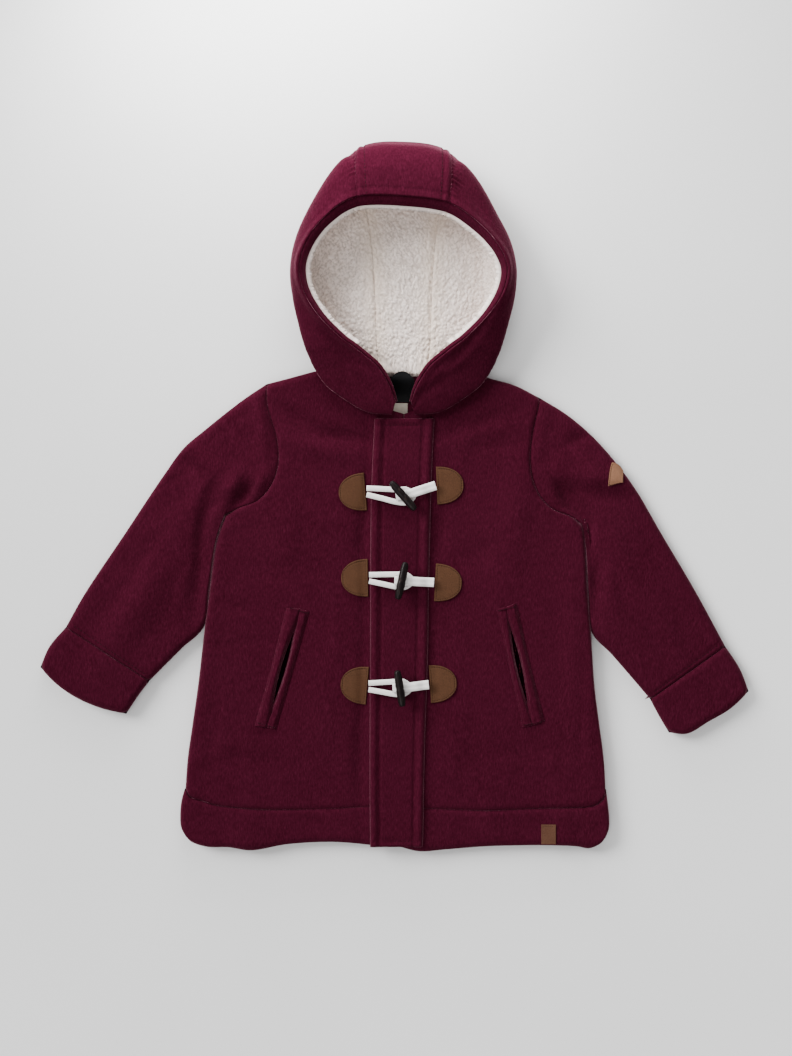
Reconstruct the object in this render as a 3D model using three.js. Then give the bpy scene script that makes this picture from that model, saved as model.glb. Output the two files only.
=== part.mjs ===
// A toddler's hooded duffle coat, fastened and laid flat on its back with the hood open upwards.
// Millimetres. Seen from above, +X is to the right and +Y towards the hood; +Z is up off the table.
// Left and right in the names are as seen from above.

import * as THREE from 'three';

// Cloth thicknesses
const BODY_CLOTH = 5.4;
const SLEEVE_CLOTH = 4.8;
const HOOD_WOOL = 2.6;
const SHERPA = 5.5;
const BAND_CLOTH = 2.6;
const LEATHER = 2;
const LABEL_CLOTH = 0.9;

// Gaps: between two sewn pieces, and between a piece and what it lies on
const SEAM_GAP = 0.4;
const REST_GAP = 0.35;

// Heights of the flat coat, and the radius to which its folded edges turn
const BODY_HEIGHT = 14.6;
const SLEEVE_HEIGHT = 13.4;
const CUFF_HEIGHT = 15;
const EDGE_TURN = 7.5;

// How far an edge turns over: 1 is a full quarter turn down to the side seam
const FULL_TURN = 1;
const SEAM_TURN = 0.36;
const HEM_TURN = 0.7;
const FLAT = 0;

// Samples along the seams that two pieces share
const SEAM_STEPS = 9;
const BACK_STEPS = 12;
const ARMHOLE_STEPS = 7;
const BODY_STEPS = 9;
const FINE_STOPS = [0, 0.2, 1];
const SLEEVE_STEPS = 9;
const UNDERARM_SHARE = 0.62;
const BOW_REACH = 0.4;

const WOOL = new THREE.MeshStandardMaterial({ color: 0x4b1027, roughness: 0.95 });
const HOOD_TOP_WOOL = new THREE.MeshStandardMaterial({ color: 0x5d1f38, roughness: 0.95 });
const SHERPA_PILE = new THREE.MeshStandardMaterial({ color: 0xe6ded6, roughness: 1 });
const BROWN_LEATHER = new THREE.MeshStandardMaterial({ color: 0x6e4b2d, roughness: 0.7 });
const TAN_LEATHER = new THREE.MeshStandardMaterial({ color: 0x9a7a58, roughness: 0.75 });
const COTTON = new THREE.MeshStandardMaterial({ color: 0xf2ece4, roughness: 0.9 });
const HORN = new THREE.MeshStandardMaterial({ color: 0x231c18, roughness: 0.25 });
const BLACK_TAPE = new THREE.MeshStandardMaterial({ color: 0x17151a, roughness: 0.8 });

// Turns rows of numbers into rows with named columns
function table(columns, rows) {
  const names = columns.split(' ');
  return rows.map((row) => Object.fromEntries(names.map((name, i) => [name, row[i]])));
}

// Side seams, from the underarm down to the hem band
const SIDE_SEAM = table('leftX leftY rightX rightY', [
  [-176.4, -20.5, 198.3, -31.5],
  [-185.2, -46.7, 200.9, -49.3],
  [-192.0, -94.3, 203.0, -96.4],
  [-197.8, -139.3, 206.7, -143.5],
  [-204.6, -198.0, 210.3, -198.0],
  [-210.0, -236.0, 215.0, -236.0],
  [-215.5, -275.0, 220.0, -275.0],
  [-217.7, -305.7, 221.8, -306.7],
]);

// Armholes, from the underarm up to the shoulder
const ARMHOLE = table('leftX leftY rightX rightY', [
  [-176.4, -20.5, 198.3, -31.5],
  [-161.0, -12.5, 187.0, -22.5],
  [-143.0, -5.5, 165.0, -13.0],
  [-129.0, 9.0, 149.5, 6.0],
  [-120.5, 32.0, 142.8, 33.0],
  [-122.0, 60.0, 144.5, 62.0],
  [-131.5, 95.0, 150.0, 88.0],
  [-132.4, 117.1, 153.2, 102.4],
]);

// Shoulder seams, from the neck out to the armhole
const SHOULDER = table('leftX leftY rightX rightY', [
  [-57.9, 135.7, 78.3, 131.7],
  [-81.1, 130.7, 101.0, 122.9],
  [-108.3, 123.4, 126.1, 116.0],
  [-132.4, 117.1, 153.2, 102.4],
]);

// Front neckline, from the middle out to the shoulder seam
const FRONT_NECK = table('leftX leftY rightX rightY', [
  [10.8, 85.4, 11.2, 85.4],
  [-14.0, 93.8, 34.6, 93.8],
  [-33.0, 106.3, 53.6, 105.6],
  [-47.5, 120.9, 68.4, 119.0],
  [-57.9, 135.7, 78.3, 131.7],
]);

// Back neckline, from the middle out to the shoulder seam
const BACK_NECK = table('leftX leftY rightX rightY', [
  [10.3, 129.8, 10.3, 129.8],
  [-18.0, 129.8, 38.6, 129.6],
  [-42.0, 132.2, 62.5, 130.6],
  [-57.9, 135.7, 78.3, 131.7],
]);

// The line down the middle where the two fronts meet under the placket
const CENTRE_FRONT = table('x y', [
  [3.5, -326.0],
  [4.0, -288.0],
  [6.0, -145.0],
  [7.5, -25.0],
  [11.0, 85.4],
]);

// Seam of the hem band, from the middle out to the side seam
const HEM_SEAM = table('leftX leftY rightX rightY', [
  [3.3, -326.0, 3.7, -326.0],
  [-25.6, -324.8, 33.0, -326.6],
  [-63.0, -326.6, 66.0, -327.7],
  [-104.0, -327.7, 96.5, -328.6],
  [-137.0, -327.6, 147.0, -326.6],
  [-161.0, -325.9, 180.0, -325.8],
  [-184.0, -323.2, 201.0, -325.0],
  [-199.0, -318.6, 213.0, -322.0],
  [-212.4, -314.0, 220.0, -315.0],
  [-217.7, -305.7, 221.8, -306.7],
]);

// Bottom edge of the hem band, from the middle out to the corner
const HEM_BOTTOM = table('leftX leftY rightX rightY', [
  [6.6, -366.9, 7.0, -367.0],
  [-23.6, -365.0, 26.7, -371.6],
  [-43.4, -363.0, 57.0, -369.5],
  [-67.5, -361.8, 96.8, -366.4],
  [-111.5, -364.3, 125.0, -365.6],
  [-149.0, -370.6, 155.0, -365.3],
  [-173.0, -367.4, 191.0, -366.4],
  [-195.2, -366.9, 205.0, -368.5],
  [-211.0, -362.0, 216.5, -363.5],
  [-217.5, -356.5, 222.0, -357.5],
]);

// Sides of the hem band, from the bottom corner up to its seam
const HEM_SIDE = table('leftX leftY rightX rightY', [
  [-217.5, -356.5, 222.0, -357.5],
  [-222.5, -346.0, 225.6, -347.0],
  [-223.3, -332.0, 225.6, -333.0],
  [-221.8, -318.0, 224.0, -320.0],
  [-218.3, -306.1, 222.4, -307.1],
]);

// Outer folded edge of the sleeves, from the shoulder to the cuff seam
const SLEEVE_OUTER = table('leftX leftY rightX rightY', [
  [-132.4, 117.1, 153.2, 102.4],
  [-157.5, 100.4, 182.0, 84.5],
  [-197.3, 69.0, 209.8, 60.6],
  [-219.5, 50.0, 231.0, 36.8],
  [-240.2, 21.9, 253.1, 7.2],
  [-282.0, -40.9, 281.0, -40.7],
  [-323.9, -103.7, 316.0, -100.0],
  [-342.7, -137.2, 346.9, -157.1],
]);

// Inner folded edge of the sleeves, which hugs the body and then leaves it for the cuff seam
const SLEEVE_INNER = table('leftX leftY rightX rightY', [
  [-176.4, -20.5, 198.3, -31.5],
  [-186.4, -49.0, 201.4, -60.0],
  [-192.3, -96.0, 203.6, -104.0],
  [-198.4, -137.0, 207.4, -143.0],
  [-222.0, -160.2, 228.6, -166.5],
  [-255.4, -193.7, 268.4, -212.6],
]);

// Edges of the cuffs, from the seam to the open end
const CUFF_OUTER = table('leftX leftY rightX rightY', [
  [-342.7, -137.2, 346.9, -157.1],
  [-360.0, -157.5, 362.5, -181.0],
  [-369.5, -179.1, 371.5, -204.2],
]);
const CUFF_INNER = table('leftX leftY rightX rightY', [
  [-255.4, -193.7, 268.4, -212.6],
  [-267.0, -209.0, 277.0, -229.0],
  [-279.5, -228.0, 288.0, -247.5],
]);

// Open end of the cuffs, from the outer edge to the inner one
const CUFF_END = table('leftX leftY rightX rightY', [
  [-369.5, -179.1, 371.5, -204.2],
  [-353.0, -196.0, 352.0, -222.5],
  [-333.0, -210.0, 329.1, -236.0],
  [-307.2, -221.3, 307.0, -248.5],
  [-279.5, -228.0, 288.0, -247.5],
]);

// Soft ridges and troughs of the top layers: middle, direction in degrees, half length,
// half width and height, which is below zero in a trough
const FOLDS = table('x y turn length width height', [
  [-153.0, 3.0, 115, 20, 9, -2.2],
  [-143.0, 18.0, 110, 30, 10, 2.0],
  [-172.0, 8.0, 130, 26, 9, 2.6],
  [-191.0, -28.0, 84, 48, 10, -2.0],
  [-204.0, -20.0, 86, 50, 10, 2.2],
  [-214.0, 44.0, -32, 34, 11, 2.8],
  [-236.0, -28.0, 38, 34, 12, 1.8],
  [-262.0, -105.0, 55, 60, 15, 2.4],
  [-300.0, -118.0, 60, 50, 13, -1.8],
  [184.0, -1.0, 60, 18, 9, -2.2],
  [196.0, 18.0, -8, 34, 10, 2.8],
  [172.0, 30.0, 80, 30, 10, 2.2],
  [236.0, -26.0, -50, 40, 12, 2.2],
  [222.0, -90.0, -78, 50, 12, 2.2],
  [272.0, -128.0, -50, 55, 14, 2.2],
  [300.0, -150.0, -52, 45, 12, -1.8],
  [-112.0, -18.0, -78, 70, 16, 2.6],
  [128.0, -22.0, 82, 74, 16, 2.6],
  [-172.0, -190.0, 86, 80, 16, 2.4],
  [186.0, -180.0, 88, 84, 16, 2.2],
  [-150.0, -345.0, 88, 34, 18, 1.8],
  [-82.0, -330.0, 90, 36, 14, -1.2],
  [100.0, -335.0, 92, 40, 14, 1.6],
  [180.0, -340.0, 90, 34, 15, 1.8],
]);

// Placket over the middle: its two long edges, from the top down to the hem
const PLACKET = table('leftX rightX y', [
  [-19.8, 42.7, 80.8],
  [-22.3, 40.2, 30.0],
  [-23.9, 38.5, -25.3],
  [-24.2, 36.6, -105.0],
  [-24.4, 35.9, -160.5],
  [-24.9, 33.0, -250.0],
  [-25.0, 31.7, -300.0],
  [-24.6, 31.2, -345.0],
  [-24.4, 30.4, -366.5],
]);
const PLACKET_CLOTH = 2.8;
const PLACKET_RIDGE = 1.1;
const RIDGE_WIDTH = 10;

// Welts over the slanted pockets: the slit edge and the outer edge of each
const WELT = table('side slitX slitY endX endY outerX outerY outerEndX outerEndY', [
  ['left', -97.6, -118.0, -132.6, -241.5, -109.2, -117.0, -142.6, -240.5],
  ['right', 117.4, -116.0, 145.0, -239.5, 126.0, -112.6, 155.0, -236.0],
]);
const WELT_CLOTH = 2.2;

// Toggle closures from the neck down: both ends of each toggle, and for the patch on each side
// the middle of its straight edge and the direction in which it points
const CLOSURES = table('name fromX fromY toX toY leftX leftY leftTurn rightX rightY rightTurn', [
  ['top', -3.2, 14.4, 22.8, -15.0, -29.2, 4.5, 185, 45.0, 10.6, 2],
  ['middle', 12.6, -68.8, 4.2, -107.9, -26.6, -85.6, 181, 43.3, -90.3, -3],
  ['bottom', 3.7, -181.0, 9.3, -219.0, -27.2, -198.4, 175, 37.9, -196.6, 3.5],
]);
const PATCH_HEIGHT = 38.5;
const PATCH_LENGTH = 28;
const PATCH_ROUNDNESS = 2.4;
const PATCH_TIP = 0.4;
const TOGGLE_RADIUS = 4.4;
const TOGGLE_SIDES = 10;
const TOGGLE_PROFILE = table('radius along', [
  [0, 0],
  [0.55, 0.012],
  [0.78, 0.08],
  [0.96, 0.3],
  [1, 0.5],
  [0.96, 0.7],
  [0.78, 0.92],
  [0.55, 0.988],
  [0, 1],
]);
const CORD_WIDTH = 6;
const CORD_THICK = 2.8;

// Sections of the hood's left half, from the top seam round to the front of the neck. Each runs
// from the rim over the side and the underside to the middle seam or the neck seam.
// Columns ending in H are distances from the hood's middle line, and lip is the width of the band.
const HOOD_MIDDLE = 10.3;
const CHEST = BODY_HEIGHT + 0.6;
const HOOD = table('rimH rimY rimZ sideH sideY sideZ underH underY underZ seamH seamY seamZ lip', [
  [48, 303, 60, 50, 331, 57, 50.5, 350, 47, 50, 357.5, 31, 9.5],
  [60, 297.5, 60.2, 60, 344, 44, 57, 350, 22, 50, 355, 12, 9.5],
  [74, 288, 60, 74, 333, 37, 64, 328, 5, 48, 338, 0, 9.5],
  [90, 273, 59.5, 93.5, 301.6, 36, 76, 296, 0, 42, 312, 0, 9.2],
  [103, 254, 58.5, 109.5, 268.5, 35, 84, 266, 0, 36, 284, 0, 9],
  [109, 233, 57, 116.7, 236, 34, 86, 236, 0, 32, 250, 0, 8.6],
  [104, 209, 54, 115.2, 205, 33, 86, 206, 0, 30, 215, 0, 8],
  [88, 184, 50, 109, 178, 31, 82, 181, 0, 29, 185, 0, 7],
  [66, 163, 45, 102, 154, 29, 78, 160, 0, 28, 158, 0, 6],
  [52, 153, 42.5, 97.5, 143, 26, 78, 147, 2, 28, 131, 0.4, 5.6],
  [40, 144, 40, 92.5, 131.5, 24, 80, 139, CHEST + 0.8, 55, 135.5, CHEST + 0.6, 5.2],
  [28, 134, 38, 81, 115, 22.5, 71, 121, CHEST, 61, 124, CHEST, 4.8],
  [18.5, 121, 35.5, 63, 101, 22, 54, 107, CHEST, 44, 109, CHEST, 4.2],
  [12, 108, 33, 38, 87, 21.5, 33, 93, CHEST, 25, 97, CHEST, 3.2],
  [8.4, 97, 30, 12, 84.4, 22.5, 11.5, 87.5, CHEST + 0.2, 9.5, 92, CHEST + 0.2, 2.4],
]);
const RIM_TILT = 0.07;
const RIM_TILT_FROM = 222;
const RIM_TILT_FADE = 70;
const CROWN_BULGE = 10.5;
const NECK_SECTION = 9;
const HOOD_ROWS = 20;
const HOOD_COLUMNS = 12;
const GUSSET_STEPS = 4;
const LIP_SLOPE = 0.8;

// Small labels
const NECK_LABEL = { x: 9, bottom: 98, top: 130, width: 26 };
const SIZE_TAG = { x: 7.4, bottom: 81, top: 97, width: 15 };
const HEM_LABEL = { left: 154.2, right: 169.4, top: -343.0, bottom: -363.6 };

// Corners of the sleeve patch, two low and two high: the distance from the sleeve's outer edge
// and the share of the sleeve's length. Its high edge bows towards the outer edge.
const SLEEVE_PATCH = table('inset along', [[29.2, 0.3034], [9.4, 0.3659], [4.9, 0.3025], [1.1, 0.353]]);
const SLEEVE_PATCH_BOW = 2.2;

const clamp = THREE.MathUtils.clamp;
const lerp = THREE.MathUtils.lerp;
const smooth = THREE.MathUtils.smoothstep;
const point = (x, y, z = 0) => new THREE.Vector3(x, y, z);
const evenly = (steps) => Array.from({ length: steps + 1 }, (_, i) => i / steps);

// A smooth curve through the rows of a table, as a function of 0 to 1
function curve(rows, side = '') {
  const points = rows.map((row) => (side ? point(row[`${side}X`], row[`${side}Y`]) : point(row.x, row.y)));
  const spline = new THREE.CatmullRomCurve3(points, false, 'centripetal');
  return (t) => spline.getPointAt(clamp(t, 0, 1));
}

// The same curve with straight chords between shared stops, moved sideways by a distance
function chords(line, steps, distance = 0) {
  const stops = Array.from({ length: steps + 1 }, (_, i) => line(i / steps));
  const moved = stops.map((stop, i) => {
    const before = stops[Math.max(i - 1, 0)];
    const after = stops[Math.min(i + 1, steps)];
    const along = after.clone().sub(before).normalize();
    return point(stop.x - along.y * distance, stop.y + along.x * distance);
  });
  return (t) => {
    const place = clamp(t, 0, 1) * steps;
    const i = Math.min(Math.floor(place), steps - 1);
    return moved[i].clone().lerp(moved[i + 1], place - i);
  };
}

const reversed = (line) => (t) => line(1 - t);
const joined = (first, second, share) => (t) => (
  t < share ? first(t / share) : second((t - share) / (1 - share))
);
const straight = (from, to) => (t) => from.clone().lerp(to, t);

// A patch of cloth in plan, between four edge curves that share their corners
function plan(start, end, near, far) {
  return (u, v) => {
    const sides = start(v).multiplyScalar(1 - u).add(end(v).multiplyScalar(u));
    const ends = near(u).multiplyScalar(1 - v).add(far(u).multiplyScalar(v));
    const corners = near(0).multiplyScalar((1 - u) * (1 - v))
      .add(near(1).multiplyScalar(u * (1 - v)))
      .add(far(0).multiplyScalar((1 - u) * v))
      .add(far(1).multiplyScalar(u * v));
    return sides.add(ends).sub(corners);
  };
}

// Height of all the soft folds at a place
function folds(x, y) {
  let height = 0;
  for (const fold of FOLDS) {
    const turn = THREE.MathUtils.degToRad(fold.turn);
    const along = (x - fold.x) * Math.cos(turn) + (y - fold.y) * Math.sin(turn);
    const across = (y - fold.y) * Math.cos(turn) - (x - fold.x) * Math.sin(turn);
    height += fold.height * Math.exp(-((along / fold.length) ** 2) - (across / fold.width) ** 2);
  }
  return height;
}

const chestTop = (x, y) => BODY_HEIGHT + folds(x, y);

// How far round its turn the cloth is, at a distance from an edge
const turned = (share, distance) => Math.max(0, Math.sin((share * Math.PI) / 2) - distance / EDGE_TURN);

// The outer surface of a laid piece: level in the middle, turned at its edges.
// face is 1 for a top layer and -1 for the layer on the table.
function laid(flat, height, face, turns) {
  const middle = height / 2;
  const rise = middle - REST_GAP / 2;
  return (u, v) => {
    const place = flat(u, v);
    const across = flat(0, v).distanceTo(flat(1, v));
    const along = flat(u, 0).distanceTo(flat(u, 1));
    const turnU = Math.max(turned(turns.start(v), u * across), turned(turns.end(v), (1 - u) * across));
    const turnV = Math.max(turned(turns.near(u), v * along), turned(turns.far(u), (1 - v) * along));
    const lift = Math.sqrt(1 - Math.min(1, turnU ** 2 + turnV ** 2));
    const crease = face > 0 ? folds(place.x, place.y) * lift : 0;
    return point(place.x, place.y, middle + face * (REST_GAP / 2 + rise * lift) + crease);
  };
}

const always = (turn) => () => turn;
const UPWARDS = () => point(0, 0, 1);
const DOWNWARDS = () => point(0, 0, -1);

// Stops across a piece: fine round each fully turned edge and even between
function stops(length, steps, startTurned, endTurned) {
  const fine = FINE_STOPS.map((share) => (share * EDGE_TURN) / length);
  const even = Array.from({ length: steps - 1 }, (_, i) => (i + 1) / steps);
  const first = startTurned ? fine : [0];
  const last = endTurned ? fine.map((share) => 1 - share).reverse() : [1];
  return [...first, ...even, ...last];
}

const sample = (surface, rows, columns) => rows.map((v) => columns(v).map((u) => surface(u, v)));

// Unit normals of a grid of points, pointing the way that outwards gives
function normals(grid, outwards, round = false) {
  const last = grid[0].length - 1;
  const left = (j) => (round ? (j + last) % (last + 1) : Math.max(j - 1, 0));
  const right = (j) => (round ? (j + 1) % (last + 1) : Math.min(j + 1, last));
  const found = grid.map((row, i) => row.map((_, j) => {
    const across = row[right(j)].clone().sub(row[left(j)]);
    const before = grid[Math.max(i - 1, 0)][j];
    const after = grid[Math.min(i + 1, grid.length - 1)][j];
    return across.cross(after.clone().sub(before)).normalize();
  }));
  let agreement = 0;
  grid.forEach((row, i) => row.forEach((spot, j) => {
    agreement += found[i][j].dot(outwards(spot));
  }));
  return found.map((row) => row.map((normal) => normal.multiplyScalar(Math.sign(agreement))));
}

const movedIn = (grid, directions, distance) => grid.map((row, i) => (
  row.map((spot, j) => spot.clone().addScaledVector(directions[i][j], -distance))
));

// Level direction of the line from one point to another
const level = (from, to) => to.clone().sub(from).setZ(0).normalize();

// The inner grid of a laid piece. A fully turned edge is moved straight in, a seam is cut upright
// along its own line, and no layer passes the middle of the flat coat.
function innerGrid(outer, height, thickness, outwards, seamAt, round = false) {
  const directions = normals(outer, outwards, round);
  const middle = height / 2;
  outer.forEach((row, i) => row.forEach((spot, j) => {
    const direction = directions[i][j];
    if (direction.z * (spot.z - middle) < 0) direction.negate();
    if (Math.abs(spot.z - middle) < REST_GAP) direction.setZ(0);
    const seam = seamAt(i, j);
    if (seam) {
      const rise = direction.z;
      direction.copy(seam.multiplyScalar(direction.dot(seam))).setZ(rise);
    }
    direction.normalize();
  }));
  const inner = movedIn(outer, directions, thickness);
  inner.forEach((row, i) => row.forEach((spot, j) => {
    const face = Math.sign(Math.round((outer[i][j].z - middle) * 100));
    spot.z = middle + face * Math.max(REST_GAP / 2, face * (spot.z - middle));
  }));
  return inner;
}

// A mesh from vertices and faces, with its faces turned to point out
function solid(vertices, faces) {
  let volume = 0;
  for (const [a, b, c] of faces) {
    volume += vertices[a].dot(vertices[b].clone().cross(vertices[c]));
  }
  const outward = volume > 0 ? faces : faces.map(([a, b, c]) => [a, c, b]);
  const geometry = new THREE.BufferGeometry();
  const numbers = vertices.flatMap((vertex) => vertex.toArray());
  geometry.setAttribute('position', new THREE.Float32BufferAttribute(numbers, 3));
  geometry.setIndex(outward.flat());
  geometry.computeVertexNormals();
  return geometry;
}

const quad = (a, b, c, d) => [[a, b, c], [a, c, d]];

// A closed wall between an outer and an inner grid. A round wall is a tube, open at both ends.
function wall(outer, inner, round = false) {
  const rows = outer.length;
  const columns = outer[0].length;
  const vertices = [...outer.flat(), ...inner.flat()];
  const out = (i, j) => i * columns + (j % columns);
  const into = (i, j) => rows * columns + out(i, j);
  const faces = [];
  const lastColumn = round ? columns : columns - 1;
  for (let i = 0; i < rows - 1; i += 1) {
    for (let j = 0; j < lastColumn; j += 1) {
      faces.push(...quad(out(i, j), out(i, j + 1), out(i + 1, j + 1), out(i + 1, j)));
      faces.push(...quad(into(i, j), into(i + 1, j), into(i + 1, j + 1), into(i, j + 1)));
    }
  }
  for (let j = 0; j < lastColumn; j += 1) {
    faces.push(...quad(out(0, j), into(0, j), into(0, j + 1), out(0, j + 1)));
    faces.push(...quad(out(rows - 1, j), out(rows - 1, j + 1), into(rows - 1, j + 1), into(rows - 1, j)));
  }
  if (!round) {
    for (let i = 0; i < rows - 1; i += 1) {
      faces.push(...quad(out(i, 0), out(i + 1, 0), into(i + 1, 0), into(i, 0)));
      const last = columns - 1;
      faces.push(...quad(out(i, last), into(i, last), into(i + 1, last), out(i + 1, last)));
    }
  }
  return solid(vertices, faces);
}

// A closed body through a row of rings, with flat ends
function lofted(rings) {
  const count = rings[0].length;
  const vertices = rings.flat();
  const faces = [];
  for (let i = 0; i < rings.length - 1; i += 1) {
    for (let j = 0; j < count; j += 1) {
      const next = (j + 1) % count;
      faces.push(...quad(i * count + j, i * count + next, (i + 1) * count + next, (i + 1) * count + j));
    }
  }
  const end = (rings.length - 1) * count;
  for (let j = 1; j < count - 1; j += 1) {
    faces.push([0, j + 1, j], [end, end + j, end + j + 1]);
  }
  return solid(vertices, faces);
}

const coat = new THREE.Group();

function add(name, geometry, material) {
  const mesh = new THREE.Mesh(geometry, material);
  mesh.name = name;
  coat.add(mesh);
}

const SIDES = ['left', 'right'];
const towards = { left: -1, right: 1 };

// Turn along the outer edge of a body panel: folded below the underarm, a seam at the armhole
function sideTurn(seamTurn) {
  return (v) => lerp(FULL_TURN, seamTurn, smooth(v, UNDERARM_SHARE + 0.002, UNDERARM_SHARE + 0.04));
}

// Stops up a body panel, with one on the underarm and on each stop of the armhole
function bodyRows(length) {
  const below = Array.from({ length: BODY_STEPS }, (_, i) => (UNDERARM_SHARE * i) / BODY_STEPS);
  const beside = Array.from({ length: ARMHOLE_STEPS }, (_, i) => (
    UNDERARM_SHARE + ((1 - UNDERARM_SHARE) * i) / ARMHOLE_STEPS
  ));
  const shoulder = FINE_STOPS.map((share) => 1 - (share * EDGE_TURN) / length).reverse();
  return [0, 4 / length, ...below.slice(1), ...beside, ...shoulder];
}

// The line of the armhole seam at the edges of a body panel, above the underarm
function armholeSeam(outer, ends) {
  const columns = ends.map((end) => (end === 'start' ? 0 : outer[0].length - 1));
  return (i, j) => {
    if (i <= BODY_STEPS + 1 || !columns.includes(j)) return null;
    return level(outer[i - 1][j], outer[Math.min(i + 1, outer.length - 1)][j]);
  };
}
const noSeam = () => null;

const NECK_SHARE = 0.5;

const bodySide = (side) => joined(
  reversed(curve(SIDE_SEAM, side)),
  chords(curve(ARMHOLE, side), ARMHOLE_STEPS, (towards[side] * SEAM_GAP) / 2),
  UNDERARM_SHARE,
);

function buildFront(side) {
  const hemSeam = chords(curve(HEM_SEAM, side), SEAM_STEPS);
  const top = joined(curve(FRONT_NECK, side), curve(SHOULDER, side), NECK_SHARE);
  const centre = curve(CENTRE_FRONT);
  const flat = plan(
    (v) => centre(v).add(point(towards[side] * SEAM_GAP * 0.5, 0)),
    bodySide(side),
    (u) => hemSeam(u).add(point(0, SEAM_GAP / 2)),
    top,
  );
  const surface = laid(flat, BODY_HEIGHT, 1, {
    start: always(FLAT),
    end: sideTurn(SEAM_TURN),
    near: always(SEAM_TURN),
    far: (u) => lerp(FLAT, FULL_TURN, smooth(u, NECK_SHARE - 0.06, NECK_SHARE + 0.02)),
  });
  const length = flat(0.5, 0).distanceTo(flat(0.5, 1));
  const outer = sample(surface, bodyRows(length), (v) => (
    stops(flat(0, v).distanceTo(flat(1, v)), SEAM_STEPS, false, true)
  ));
  const inner = innerGrid(outer, BODY_HEIGHT, BODY_CLOTH, UPWARDS, armholeSeam(outer, ['end']));
  add(`front_${side}`, wall(outer, inner), WOOL);
}

const acrossBack = (rows) => joined(reversed(curve(rows, 'left')), curve(rows, 'right'), 0.5);

function buildBack() {
  const shoulderShare = 0.27;
  const neck = joined(
    reversed(curve(SHOULDER, 'left')),
    joined(acrossBack(BACK_NECK), curve(SHOULDER, 'right'), (1 - 2 * shoulderShare) / (1 - shoulderShare)),
    shoulderShare,
  );
  const hemSeam = chords(acrossBack(HEM_SEAM), BACK_STEPS);
  const flat = plan(
    bodySide('left'),
    bodySide('right'),
    (u) => hemSeam(u).add(point(0, SEAM_GAP / 2)),
    neck,
  );
  const onShoulder = (u) => 1 - smooth(Math.min(u, 1 - u), shoulderShare - 0.02, shoulderShare + 0.03);
  const surface = laid(flat, BODY_HEIGHT, -1, {
    start: sideTurn(FLAT),
    end: sideTurn(FLAT),
    near: always(FLAT),
    far: (u) => lerp(FLAT, FULL_TURN, onShoulder(u)),
  });
  const length = flat(0.25, 0).distanceTo(flat(0.25, 1));
  const outer = sample(surface, bodyRows(length), (v) => (
    stops(flat(0, v).distanceTo(flat(1, v)), BACK_STEPS, true, true)
  ));
  const inner = innerGrid(outer, BODY_HEIGHT, BODY_CLOTH, DOWNWARDS, armholeSeam(outer, ['start', 'end']));
  add('back', wall(outer, inner), WOOL);
}

function buildHemFront(side) {
  const seam = chords(curve(HEM_SEAM, side), SEAM_STEPS);
  const bottom = curve(HEM_BOTTOM, side);
  const below = point(0, -SEAM_GAP / 2);
  const flat = plan(
    straight(bottom(0), seam(0).add(below)),
    curve(HEM_SIDE, side),
    bottom,
    (u) => seam(u).add(below),
  );
  const surface = laid(flat, BODY_HEIGHT, 1, {
    start: always(FLAT), end: always(FULL_TURN), near: always(HEM_TURN), far: always(SEAM_TURN),
  });
  const outer = sample(surface, [0, 0.05, 0.15, 0.5, 0.9, 1], (v) => (
    stops(flat(0, v).distanceTo(flat(1, v)), SEAM_STEPS, false, true)
  ));
  const inner = innerGrid(outer, BODY_HEIGHT, BODY_CLOTH, UPWARDS, noSeam);
  add(`hem_${side}`, wall(outer, inner), WOOL);
}

function buildHemBack() {
  const seam = chords(acrossBack(HEM_SEAM), BACK_STEPS);
  const flat = plan(
    curve(HEM_SIDE, 'left'),
    curve(HEM_SIDE, 'right'),
    acrossBack(HEM_BOTTOM),
    (u) => seam(u).add(point(0, -SEAM_GAP / 2)),
  );
  const surface = laid(flat, BODY_HEIGHT, -1, {
    start: always(FULL_TURN), end: always(FULL_TURN), near: always(SEAM_TURN), far: always(FLAT),
  });
  const outer = sample(surface, [0, 0.12, 0.5, 1], (v) => (
    stops(flat(0, v).distanceTo(flat(1, v)), BACK_STEPS, true, true)
  ));
  const inner = innerGrid(outer, BODY_HEIGHT, BODY_CLOTH, DOWNWARDS, noSeam);
  add('hem_back', wall(outer, inner), WOOL);
}

// A flattened tube: rings over the top from the outer edge to the inner one and back underneath
function buildTube(name, flat, height, rows, topTurns, bottomTurns) {
  const top = laid(flat, height, 1, topTurns);
  const bottom = laid(flat, height, -1, bottomTurns);
  const outer = rows.map((v) => {
    const across = stops(flat(0, v).distanceTo(flat(1, v)), ARMHOLE_STEPS, true, true);
    const over = across.map((u) => top(u, v));
    const under = across.slice(1, -1).reverse().map((u) => bottom(u, v));
    return [...over, ...under];
  });
  for (const ring of outer) {
    ring[0].setZ(height / 2);
    ring[ring.length / 2].setZ(height / 2);
  }
  const upOrDown = (spot) => point(0, 0, spot.z - height / 2);
  const inner = innerGrid(outer, height, SLEEVE_CLOTH, upOrDown, endSeams(outer), true);
  add(name, wall(outer, inner, true), WOOL);
}

// The lines of the two end seams of a tube, from its outer fold to its inner one
function endSeams(rings) {
  const half = rings[0].length / 2;
  return (i, j) => {
    if (i > 0 && i < rings.length - 1) return null;
    const over = j <= half ? j : 2 * half - j;
    return level(rings[i][Math.max(over - 2, 0)], rings[i][Math.min(over + 2, half)]);
  };
}

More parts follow.
